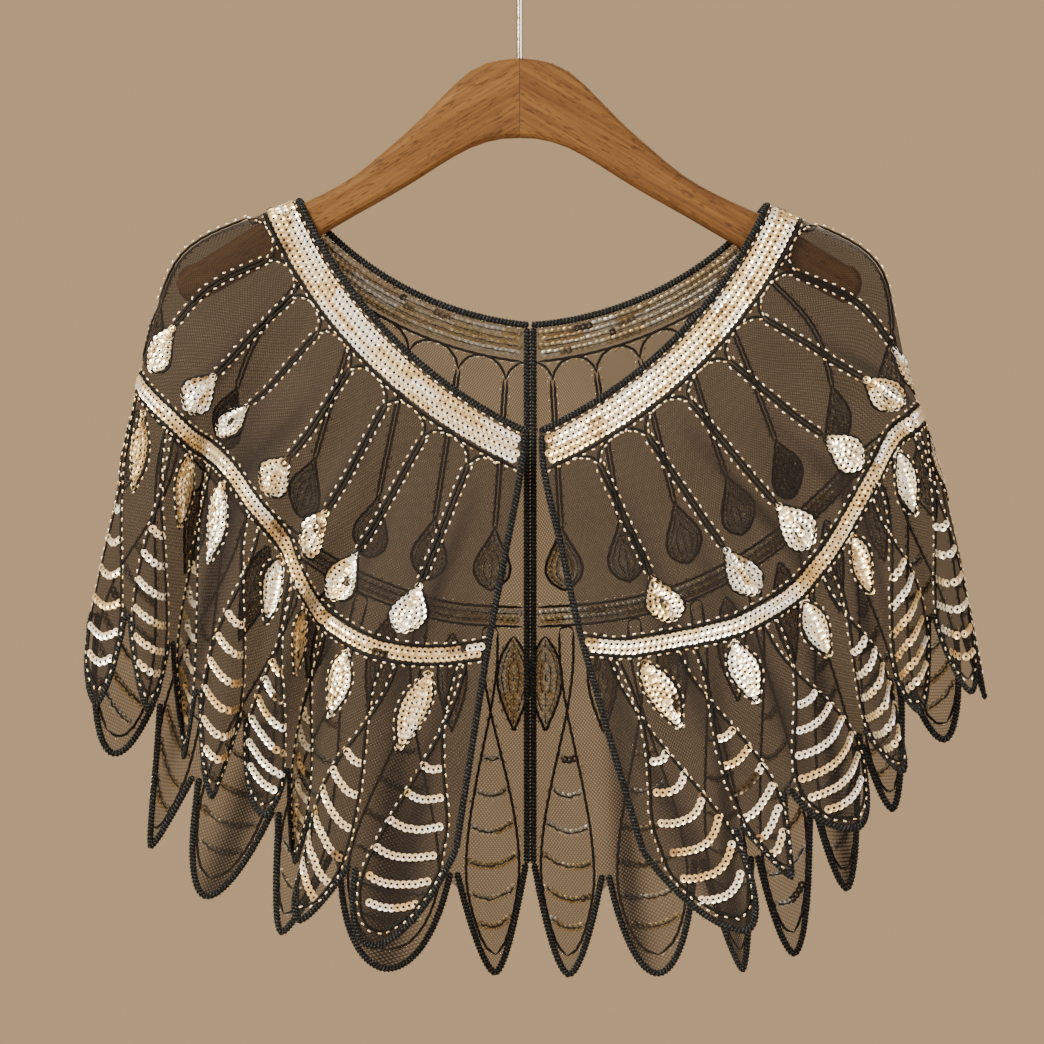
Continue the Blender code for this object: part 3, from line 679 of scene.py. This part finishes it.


# The ramp's blue-grey falls on the ribs' tops as a painted sheen, and its near black falls between them as
# painted shade.
chenille = black_yarn("black_rayon_chenille", "#0d0c0c", 0.82, 0.12, 900.0, 2.0, (0.08, "#040404"),
                      (0.30, "#121314"), (0.55, "#484d50"), relief=(0.6, 0.0006), ribs="rib_sheen_and_shade")
for side, label in SIDES:
    rng = np.random.default_rng(11 + side)
    fine = np.linspace(0, COLUMNS, COLUMNS * 40 + 1)
    down = np.linspace(0.012, V_NOTCH, 200)
    petals = [column + np.linspace(0.001, 0.999, 161) for column in range(COLUMNS)]
    for name, stands_for, routes, inset in (
            ("neck_edging_", "neck_cord_", [(fine, 0 * fine)], -side * CORD_HALF),
            ("front_edging_", "front_cord_", [(0 * down, down)], side * CORD_HALF),
            ("seam_edging_", "back_seam_cord_", [(0 * down + COLUMNS, down)], -side * SEAM_INSET),
            ("hem_edging_", "hem_cord_", [(u, hem_v(u)) for u in petals], side * CORD_HALF)):
        parts = []
        for u, v in routes:
            parts += couched_cord(side, rng, u, v, inset)
        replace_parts(add_parts(name + label, parts, chenille, "rib_sheen_and_shade"), stands_for + label)


# ---- black embroidery cord ---------------------------------------------------------------------------
# Thin gimp cord sewn along the drawn lines of the pattern: the scallops under the neckband, the doubled
# stems, the outlines of drops and leaves, the lines beside both bands and the ribbons that loop each petal.
GIMP_HALF, GIMP_DEEP = 0.9, 0.55
STEP = 2.4                      # length of one straight piece of a drawn line
HAND, HAND_TURN = 0.16, 2.1     # how far the hand-guided cord strays to either side, and how it comes back
TWIN = 1.15                     # a stem's two cords, from its middle
V_MM = V_BAND / NECKBAND        # v for a millimetre near the neck
BAND_LINE = 24.6                # line below the neckband, from the neck edge
V_NODE = V_BAND + 10.5 / DROP   # where two scallops meet and a stem starts
V_DROP_TOP, V_DROP_END = 0.318, 0.412
V_LEAF_TOP, V_LEAF_END = 0.480, 0.628
DROP_HALF, LEAF_HALF = 11.2, 9.2
MOTIF_SHARE = 0.36              # of a column is the most that half a motif takes up
COLUMN_LIMITS = (24, 60)        # of a column's width, for the motifs' sizes
V_LIMITS = (200, 480)           # millimetres of cloth that one whole v can stand for at the waist
WAIST_LINE, WAIST_BEADS = 6.0, 7.6      # either side of the waist band's middle
YOKE_SHIFT = {-1: 0.5, 1: 0.0}  # in columns, where the pattern meets the shoulder's fold
RIBBON_V = (0.474, 0.53, 0.595, 0.65, 0.71, 0.78, 0.85, 0.91, 0.955, 0.968)
RIBBON_HALF = (-0.10, -0.085, 0.0, 0.105, 0.22, 0.325, 0.36, 0.275, 0.13, 0.0)    # in columns, at each v
RIBBON_CLEAR = 0.16             # in columns, from the front edge to the first petal's ribbon
END_CLEAR = 6.6                 # the bands and their cords start this far from the edges of the half


def follow(side, u, v, shift=0.0, lift=0.0):
    """A line on the sheet, moved sideways and outwards: its points, and along, aside and outward."""
    points, outward = sheet(side, u, v), axes(side, u, v)[2]
    along = unit(np.gradient(points, axis=0))
    aside = unit(np.cross(outward, along))
    return points + aside * shift + outward * lift, along, aside, outward


def spaced(side, u, v, pitch, start=0.0, end=0.0):
    """The same line with its points one pitch apart on the cloth."""
    places = even_steps(sheet(side, u, v), pitch, start, end)
    return read_at(u, places), read_at(v, places)


def gimp(side, u, v, shift=0.0, start=0.0, end=0.0):
    """One thin cord sewn along a line on the sheet."""
    u, v = spaced(side, u, v, STEP, start, end)
    if len(u) < 3:
        return []
    points, _, aside, outward = follow(side, u, v, shift, GIMP_DEEP)
    points = points + aside * (HAND * np.sin(np.arange(len(u)) * HAND_TURN + u[0] * 40))[:, None]
    return [tube(points, outward, GIMP_HALF, GIMP_DEEP, 5)]


def column_width(side, u, v):
    """Millimetres of cloth in one column, at one place."""
    ends = sheet(side, np.array([u - 0.25, u + 0.25]), np.array([v, v]))
    return float(np.clip(np.linalg.norm(ends[1] - ends[0]) * 2, *COLUMN_LIMITS))


def drop_width(down):
    """A teardrop's half width, as a share of its widest: pointed above and round below."""
    return np.sin(np.pi * down ** 1.7) ** 0.75


def leaf_width(down):
    """A leaf's half width, as a share of its widest: blunt above and pointed below."""
    return np.sin(np.pi * down ** 0.82) ** 1.05


Motif = namedtuple("Motif", "u top end half width")


def on_yoke(side, u):
    """Where a column's line lies above the waist band: one stem runs along the fold over each shoulder."""
    return u - YOKE_SHIFT[side] * np.exp(-((u - 8.5) / 2.2) ** 2)


def motifs(side):
    """Drops at the middle of columns 1 to 13; leaves at the columns' edges and beside the back seam."""
    drops = [Motif(float(on_yoke(side, c + 0.5)), V_DROP_TOP, V_DROP_END, DROP_HALF, drop_width)
             for c in range(1, COLUMNS)]
    leaf_at = list(range(1, COLUMNS)) + [COLUMNS - 0.2]
    leaves = [Motif(float(b), V_LEAF_TOP, V_LEAF_END, LEAF_HALF, leaf_width) for b in leaf_at]
    return drops, leaves


def outline(side, motif, grow=0.0):
    """The closed line round a drop or a leaf."""
    down = np.concatenate([np.linspace(0, 1, 28), np.linspace(1, 0, 28)[1:]])
    hand = np.concatenate([np.ones(28), -np.ones(27)])
    scale = column_width(side, motif.u, (motif.top + motif.end) / 2)
    half = np.minimum(motif.half, MOTIF_SHARE * scale) * motif.width(np.clip(down, 1e-4, 1 - 1e-4)) + grow
    return np.minimum(motif.u + hand * half / scale, COLUMNS), motif.top + down * (motif.end - motif.top)


def ribbon(column, hand):
    """One leg of the ribbon that crosses above each petal, runs round it and meets the other at the tip."""
    v = np.linspace(RIBBON_V[0], RIBBON_V[-1], 70)
    half = smooth(RIBBON_V, RIBBON_HALF, v)
    u = column + 0.5 + hand * half
    if column == 0 and hand < 0:
        u = np.maximum(u, RIBBON_CLEAR)
    return u, v


def ribbon_top(column):
    """The round top of a ribbon, just below the waist band, where its two legs join."""
    turn = np.linspace(-np.pi / 2, np.pi / 2, 14)
    return column + 0.5 + RIBBON_HALF[0] * np.sin(turn), RIBBON_V[0] - 0.008 * np.cos(turn)


def scallop(side, edge):
    """The arch that hangs from the neckband's line over one edge between two columns."""
    low = 0.85 if edge == 1 else edge - 0.5
    high = COLUMNS - 0.08 if edge == COLUMNS else edge + 0.5
    u = np.linspace(low, high, 30)
    away = np.clip(np.abs(u - edge) * 2, 0, 1)
    fall = 1 - (1 - away ** 2.1) ** 0.62
    if edge == 1:
        fall = np.where(u < 1, 0.1, fall)
    v_line = BAND_LINE * V_MM
    return on_yoke(side, u), v_line + (V_NODE - v_line) * fall


def along_band(millimetres):
    """A line at one distance from the neck edge, from the front edge to the back seam."""
    u = np.concatenate([np.linspace(0, 1, 24)[:-1], np.linspace(1, COLUMNS, 260)])
    return u, np.full_like(u, millimetres * V_MM)


def along_waist(side, millimetres):
    """A line at one distance below the middle of the waist band."""
    u = np.linspace(0, COLUMNS, 300)
    per_v = np.linalg.norm(sheet(side, u, V_WAIST + 0.02) - sheet(side, u, V_WAIST - 0.02), axis=1) / 0.04
    return u, V_WAIST + millimetres / np.clip(per_v, *V_LIMITS)


black_gimp = black_yarn("black_rayon_gimp", "#0e0c0b", 0.6, 0.15, 1400.0, 1.0, (0.40, "#040404"),
                        (0.62, "#0f0e0d"), (0.78, "#2a2725"), relief=(0.5, 0.0004))
for side, label in SIDES:
    drops, leaves = motifs(side)
    lines = gimp(side, *along_band(BAND_LINE), start=END_CLEAR - 2, end=END_CLEAR - 2)
    for edge in range(1, COLUMNS + 1):
        lines += gimp(side, *scallop(side, edge))
    for drop in drops:
        v = np.linspace(V_NODE, V_DROP_TOP + 0.004, 30)
        for shift in (-TWIN, TWIN):
            lines += gimp(side, np.full_like(v, drop.u), v, shift)
    for millimetres in (-WAIST_LINE, WAIST_LINE):
        lines += gimp(side, *along_waist(side, millimetres), start=4, end=4)
    add_parts("neck_and_waist_cords_" + label, lines, black_gimp)

    lines = []
    for motif in drops + leaves:
        lines += gimp(side, *outline(side, motif))
    add_parts("drop_and_leaf_outlines_" + label, lines, black_gimp)

    lines = []
    for column in range(COLUMNS):
        for hand in (-1, 1):
            lines += gimp(side, *ribbon(column, hand))
        lines += gimp(side, *ribbon_top(column))
    add_parts("petal_ribbons_" + label, lines, black_gimp)


# ---- sequins -----------------------------------------------------------------------------------------
# Cupped 5 mm sequins of metallised film, sewn in overlapping rows: four rows make the neckband, two the
# waist band, rows fill each drop and leaf, and six curved single rows cross each petal. They are champagne,
# with runs of brighter, browner and tarnished ones. Behind each row its black sewing thread shows on the
# inside.
SEQUIN_R, SEQUIN_HOLE, SEQUIN_CUP = 2.5, 0.82, 0.40
SEQUIN_SIDES = 10
BAND_ROWS = (8.3, 12.4, 16.5, 20.6)     # from the neck edge
BAND_PITCH, WAIST_PITCH, BAR_PITCH = 3.7, 3.45, 3.5
FILL_ROW, FILL_INSET = 3.5, 2.8  # between rows in a drop or leaf; from its outline to the first
WAIST_ROWS = (-2.1, 2.1)
BARS = (0.668, 0.722, 0.776, 0.828, 0.878, 0.922)
BAR_SAG = 0.010
BAR_TILT = 0.017                # near the front the bars rise towards the side
BAR_CLEAR, BAR_FRONT_CLEAR = 0.045, 0.24    # in columns, from a bar to its ribbon and to the front edge
SEQUIN_LIFT, SEQUIN_TILT = 1.05, 8.5    # off the net; degrees up onto the one before
THREAD_HALF, THREAD_LIFT, STITCH = 0.75, -0.45, 1.8
DARK, BROWN, CHAMPAGNE, PALE, WHITE = 0.05, 0.28, 0.5, 0.72, 0.95


def sequin_shape():
    """A shallow cup with a hole: rings from the rim to the hole, in quads."""
    angle = 2 * np.pi * np.arange(SEQUIN_SIDES) / SEQUIN_SIDES
    rings = ((SEQUIN_R, 0.0), (SEQUIN_R * 0.66, -SEQUIN_CUP * 0.8), (SEQUIN_HOLE, -SEQUIN_CUP))
    points = [np.stack([r * np.cos(angle), r * np.sin(angle), 0 * angle + z], axis=1) for r, z in rings]
    here = np.arange(SEQUIN_SIDES)
    after = (here + 1) % SEQUIN_SIDES
    band = np.stack([here + SEQUIN_SIDES, after + SEQUIN_SIDES, after, here], axis=1)
    return np.concatenate(points), np.concatenate([band, band + SEQUIN_SIDES])


def copies(shape, centres, along, aside, outward):
    """The shape at each centre, turned to the three directions there."""
    points, faces = shape
    placed = (centres[:, None] + points[None, :, 0:1] * along[:, None]
              + points[None, :, 1:2] * aside[:, None] + points[None, :, 2:3] * outward[:, None])
    shifted = faces[None] + (np.arange(len(centres)) * len(points))[:, None, None]
    return placed.reshape(-1, 3), shifted.reshape(-1, faces.shape[1])


def tones(rng, count, shares):
    """A tone for each sequin of a row, in runs as they were strung."""
    made = []
    while len(made) < count:
        tone = rng.choice([DARK, BROWN, CHAMPAGNE, PALE, WHITE], p=shares)
        run = rng.integers(1, 4) if tone in (DARK, BROWN) else rng.integers(3, 12)
        made += [tone] * int(run)
    return np.clip(np.array(made[:count]) + rng.normal(0, 0.035, count), 0, 1)


def sequin_row(side, rng, u, v, pitch, shares, start=0.0, end=0.0):
    """Overlapping sequins along a line, each tilted on the one before it and a little out of true."""
    u, v = spaced(side, u, v, pitch, start, end)
    if len(u) < 2:
        return []
    points, along, aside, outward = follow(side, u, v, 0.0, SEQUIN_LIFT)
    count = len(points)
    tip = np.radians(SEQUIN_TILT + rng.normal(0, 2.2, count))[:, None]
    roll = np.radians(rng.normal(0, 3.0, count))[:, None]
    tilted_along = unit(along * np.cos(tip) + outward * np.sin(tip))
    up = unit(outward * np.cos(tip) - along * np.sin(tip))
    tilted_aside = unit(aside * np.cos(roll) + up * np.sin(roll))
    up = unit(np.cross(tilted_along, tilted_aside))
    points = points + outward * rng.normal(0, 0.08, (count, 1)) + aside * rng.normal(0, 0.1, (count, 1))
    placed = copies(sequin_shape(), points, tilted_along, tilted_aside, up)
    return [placed + (np.repeat(tones(rng, count, shares), len(sequin_shape()[0])),)]


def thread_row(side, rng, u, v, half, start=0.0, end=0.0):
    """The sewing thread of a row, flat against the inside of the net, with its uneven stitches."""
    u, v = spaced(side, u, v, STITCH, start, end)
    if len(u) < 2:
        return []
    points, _, aside, _ = follow(side, u, v, 0.0, THREAD_LIFT)
    points = points + aside * rng.normal(0, half * 0.45, (len(u), 1))
    swell = half * rng.uniform(0.35, 1.1, (len(u), 1))
    both = np.stack([points - aside * swell, points + aside * swell], axis=1).reshape(-1, 3)
    return [(both, grid_faces(len(u), 2), np.zeros(len(both)))]


def fill_rows(side, motif):
    """Lines that fill a drop or leaf: rows that follow its outline, each a row inside the last."""
    scale = column_width(side, motif.u, (motif.top + motif.end) / 2)
    down = np.linspace(0.015, 0.985, 90)
    half = min(motif.half, MOTIF_SHARE * scale) * motif.width(down)
    lines, innermost = [], half
    for ring in range(3):
        aside = half - FILL_INSET - ring * FILL_ROW
        innermost = np.where(aside > FILL_ROW / 2, aside, innermost)
        lines += [(aside > FILL_ROW / 2, hand * aside) for hand in (-1, 1)]
    no_ring = half - FILL_INSET <= FILL_ROW / 2
    lines.append((np.where(no_ring, half > FILL_INSET * 0.6, innermost > FILL_ROW * 0.8), 0 * half))
    rows = []
    for shown, aside in lines:
        places = np.flatnonzero(shown)
        for run in np.split(places, np.flatnonzero(np.diff(places) > 1) + 1):
            if len(run) > 4:
                u = np.minimum(motif.u + aside[run] / scale, COLUMNS)
                rows.append((u, motif.top + down[run] * (motif.end - motif.top)))
    return rows


def bar(column, v):
    """The curved line of one bar, between the two legs of the petal's ribbon."""
    half = float(smooth(RIBBON_V, RIBBON_HALF, np.array([v]))[0]) - BAR_CLEAR
    away = np.linspace(-1, 1, 24)
    u = column + 0.5 + half * away
    if column == 0:
        u = np.maximum(u, BAR_FRONT_CLEAR)
    sag = BAR_SAG * min(half / 0.26, 1.0)
    return u, v - sag * (away ** 2 - 0.35) - BAR_TILT * max(0.0, 1 - column / 3) * away * half / 0.3


def metallised_film():
    """Silvered polyester film dyed champagne: a soft metal shine, scuffed dull here and there."""
    made, tree, surface = new_material("metallised_sequin_film", "#dcc69a", 0.3, 0.78)
    colours = ramp(tree, attribute(tree, "tone"), (0.0, "#2c251c"), (0.14, "#534835"), (0.28, "#a08862"),
                   (0.5, "#e4cb94"), (0.72, "#f6e9c8"), (0.95, "#fffdf0"))
    scuffs = noise(tree, object_place(tree), 420.0, 3.0)
    dulled = mixed(tree, ranged(tree, scuffs, 0.52, 0.72, 0.0, 0.55), colours, "#a39270", "MULTIPLY")
    tree.links.new(dulled, surface.inputs["Base Color"])
    tree.links.new(ranged(tree, scuffs, 0.35, 0.7, 0.28, 0.5), surface.inputs["Roughness"])
    return made


film = metallised_film()
thread = black_yarn("black_sewing_thread", "#0d0b0a", 0.7, 0.2, 1100.0, 2.0, (0.42, "#070606"),
                    (0.66, "#2b2826"))
# The shares of dark, brown, champagne, pale and white sequins in a band, a bar, or a drop or leaf.
BAND_SHARES = (0.04, 0.12, 0.34, 0.28, 0.22)
WAIST_SHARES = (0.02, 0.09, 0.29, 0.32, 0.28)
BAR_SHARES = (0.05, 0.08, 0.25, 0.30, 0.32)
GOLD_MOTIF = (0.02, 0.10, 0.60, 0.23, 0.05)
WHITE_MOTIF = (0.01, 0.03, 0.12, 0.34, 0.50)
DARK_MOTIF = (0.30, 0.35, 0.25, 0.10, 0.0)
for side, label in SIDES:
    rng = np.random.default_rng(31 + side)
    drops, leaves = motifs(side)
    rows, threads = [], []
    for k, millimetres in enumerate(BAND_ROWS):
        clear = END_CLEAR + (k % 2) * BAND_PITCH / 2
        u, v = along_band(millimetres)
        rows += sequin_row(side, rng, u, v, BAND_PITCH, BAND_SHARES, clear, clear)
        threads += thread_row(side, rng, u, v, THREAD_HALF * 0.5, clear, clear)
    band = add_parts("neckband_sequins_" + label, rows, film, "tone")
    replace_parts(band, "neckband_" + label)

    rows = []
    for k, millimetres in enumerate(WAIST_ROWS):
        clear = END_CLEAR + k * WAIST_PITCH / 2
        u, v = along_waist(side, millimetres)
        rows += sequin_row(side, rng, u, v, WAIST_PITCH, WAIST_SHARES, clear, clear)
        threads += thread_row(side, rng, u, v, THREAD_HALF * 0.6, clear, clear)
    band = add_parts("waist_band_sequins_" + label, rows, film, "tone")
    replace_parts(band, "waist_band_" + label)

    rows = []
    for motif in drops + leaves:
        draw = rng.random()
        dark = motif in drops and draw < 0.2
        shares = DARK_MOTIF if dark else GOLD_MOTIF if draw < 0.5 else WHITE_MOTIF
        for u, v in fill_rows(side, motif):
            rows += sequin_row(side, rng, u, v, BAR_PITCH, shares)
            threads += thread_row(side, rng, u, v, THREAD_HALF * (1.5 if dark else 0.6))
    add_parts("drop_and_leaf_sequins_" + label, rows, film, "tone")

    rows = []
    for column in range(COLUMNS):
        for v in BARS:
            rows += sequin_row(side, rng, *bar(column, v), BAR_PITCH, BAR_SHARES)
            threads += thread_row(side, rng, *bar(column, v), THREAD_HALF * 0.95)
    add_parts("petal_bar_sequins_" + label, rows, film, "tone")
    add_parts("sequin_threads_" + label, threads, thread)


# ---- beads -------------------------------------------------------------------------------------------
# Small bugle beads of cream and gold glass, sewn one by one beside the cords with gaps of about a bead.
BEAD_LONG, BEAD_R, BEAD_PITCH = 2.3, 0.58, 5.8
BEAD_LIFT = 0.8
BAND_BEADS = 4.9                # the line of beads above the neckband's sequins, from the neck edge


def bead_shape():
    """A short tube with softened ends, along its first direction."""
    angle = 2 * np.pi * np.arange(6) / 6
    half = BEAD_LONG / 2
    rings = ((-half, 0.4), (-half * 0.8, 1.0), (half * 0.8, 1.0), (half, 0.4))
    points = [np.stack([0 * angle + x, BEAD_R * r * np.cos(angle), BEAD_R * r * np.sin(angle)], axis=1)
              for x, r in rings]
    here, after = np.arange(6), (np.arange(6) + 1) % 6
    band = np.stack([here, after, after + 6, here + 6], axis=1)
    return np.concatenate(points), np.concatenate([band + 6 * k for k in range(3)])


def bead_row(side, rng, u, v, shift, start=0.0, end=0.0, pitch=BEAD_PITCH):
    """Beads beside a line, each a little out of line."""
    u, v = spaced(side, u, v, pitch, start, end)
    if len(u) < 2:
        return []
    points, along, aside, outward = follow(side, u, v, shift, BEAD_LIFT)
    askew = rng.normal(0, 0.22, (len(u), 1))
    along = unit(along + aside * askew)
    aside = np.cross(outward, along)
    points = points + aside * rng.normal(0, 0.15, (len(u), 1)) + along * rng.normal(0, 0.3, (len(u), 1))
    placed = copies(bead_shape(), points, along, aside, outward)
    shade = np.repeat(np.clip(rng.normal(0.6, 0.22, len(u)), 0, 1), len(bead_shape()[0]))
    return [placed + (shade,)]


# Gold-lined glass: bright, between cream and brass.
glass, glass_tree, glass_surface = new_material("gold_lined_glass", "#e9d9b0", 0.22, 0.55)
shades = ramp(glass_tree, attribute(glass_tree, "shade"), (0.0, "#9c7a45"), (0.35, "#dcc48e"),
              (0.75, "#f6ecd2"))
glass_tree.links.new(shades, glass_surface.inputs["Base Color"])
for side, label in SIDES:
    rng = np.random.default_rng(71 + side)
    drops, leaves = motifs(side)
    beads = bead_row(side, rng, *along_band(BAND_BEADS), 0.0, END_CLEAR, END_CLEAR)
    beads += bead_row(side, rng, *along_band(BAND_LINE + 1.6), 0.0, END_CLEAR - 1, END_CLEAR - 1)
    for edge in range(1, COLUMNS + 1):
        beads += bead_row(side, rng, *scallop(side, edge), -1.5 * side, 2.0, 2.0, 5.0)
    for drop in drops:
        v = np.linspace(V_NODE, V_DROP_TOP, 30)
        beads += bead_row(side, rng, np.full_like(v, drop.u), v, TWIN + 1.7, 1.5, 2.5)
        beads += bead_row(side, rng, np.full_like(v, drop.u), v, -TWIN - 1.7, 1.5 + BEAD_PITCH / 2, 1.0)
    for millimetres in (-WAIST_BEADS, WAIST_BEADS):
        beads += bead_row(side, rng, *along_waist(side, millimetres), 0.0, 6, 6)
    for leaf in leaves:
        beads += bead_row(side, rng, *outline(side, leaf, 1.5), 0.0, 2, 2)
    for column in range(COLUMNS):
        for hand in (-1, 1):
            beads += bead_row(side, rng, *ribbon(column, hand), 1.6 * hand * side, 2, 2)
    add_parts("beads_" + label, beads, glass, "shade")


# ---- hook and eye ------------------------------------------------------------------------------------
# A small black wire hook and eye, sewn where the two front corners of the neck meet.
EYE_WIRE, EYE_R = 0.45, 1.35


def wire_loop(centre, wide, high, start, end):
    """A flat loop of fine wire in the plane of the cloth, between two angles in degrees."""
    angle = np.radians(np.linspace(start, end, 26))
    points = centre + np.stack([wide * np.cos(angle), 0 * angle, high * np.sin(angle)], axis=1)
    return tube(points, np.tile([0.0, -1.0, 0.0], (len(points), 1)), EYE_WIRE, EYE_WIRE, 6)


low, high = (np.array(corner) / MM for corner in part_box("hook_and_eye"))
middle = (low + high) / 2
enamel = new_material("black_enamelled_wire", "#161514", 0.35, 0.6)[0]
loops = [wire_loop(middle + [-1.2, -0.3, 0], EYE_R, EYE_R * 1.1, 20, 340),
         wire_loop(middle + [1.1, 0.2, 0], EYE_R * 1.15, EYE_R, 200, 520)]
closure = add_parts("front_hook_and_eye", loops, enamel)
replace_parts(closure, "hook_and_eye")


# ---- hanger's hook -----------------------------------------------------------------------------------
# One piece of 4.4 mm chromed steel wire, bent round to hang from a rod and screwed into the wooden arms.
WIRE, HOOK_R, HOOK_NECK_R = 4.4, 20.0, 10.4
HOOK_NECK_TURN, HOOK_TIP = 70.0, 205.0
SHANK_END = HANGER[0].top + 13.5


def hook_route():
    """The wire's middle line, from the tip of the bow round and down into the wood."""
    centre = np.array([0, 0, WIRE / 2 - HOOK_R])
    angle = np.radians(np.linspace(HOOK_TIP, -HOOK_NECK_TURN, 60))[:, None]
    bow = centre + HOOK_R * (np.cos(angle) * [1, 0, 0] + np.sin(angle) * [0, 0, 1])
    leave = math.radians(-HOOK_NECK_TURN)
    bend_middle = bow[-1] + HOOK_NECK_R * np.array([math.cos(leave), 0, math.sin(leave)])
    turn = np.radians(np.linspace(180 - HOOK_NECK_TURN, 180, 14))[1:, None]
    bend = bend_middle + HOOK_NECK_R * (np.cos(turn) * [1, 0, 0] + np.sin(turn) * [0, 0, 1])
    route = np.concatenate([bow, bend])
    route[:, 0] -= route[-1, 0]
    shank = np.array([[0, 0, z] for z in np.linspace(route[-1, 2], -SHANK_END, 12)[1:]])
    return np.concatenate([route, shank])


# Bright chromed steel, with faint drawing marks.
chrome, chrome_tree, chrome_surface = new_material("chromed_steel_wire", "#d9d7d2", 0.2, 1.0)
marks = noise(chrome_tree, object_place(chrome_tree), 260.0, 3.0)
chrome_tree.links.new(ranged(chrome_tree, marks, 0.35, 0.7, 0.14, 0.3), chrome_surface.inputs["Roughness"])
route = hook_route()
wire = tube(route, np.tile([0.0, -1.0, 0.0], (len(route), 1)), WIRE / 2, WIRE / 2, 20)
hook = add_piece("hook_wire", wire[0], wire[1], chrome)
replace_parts(hook, "hook")
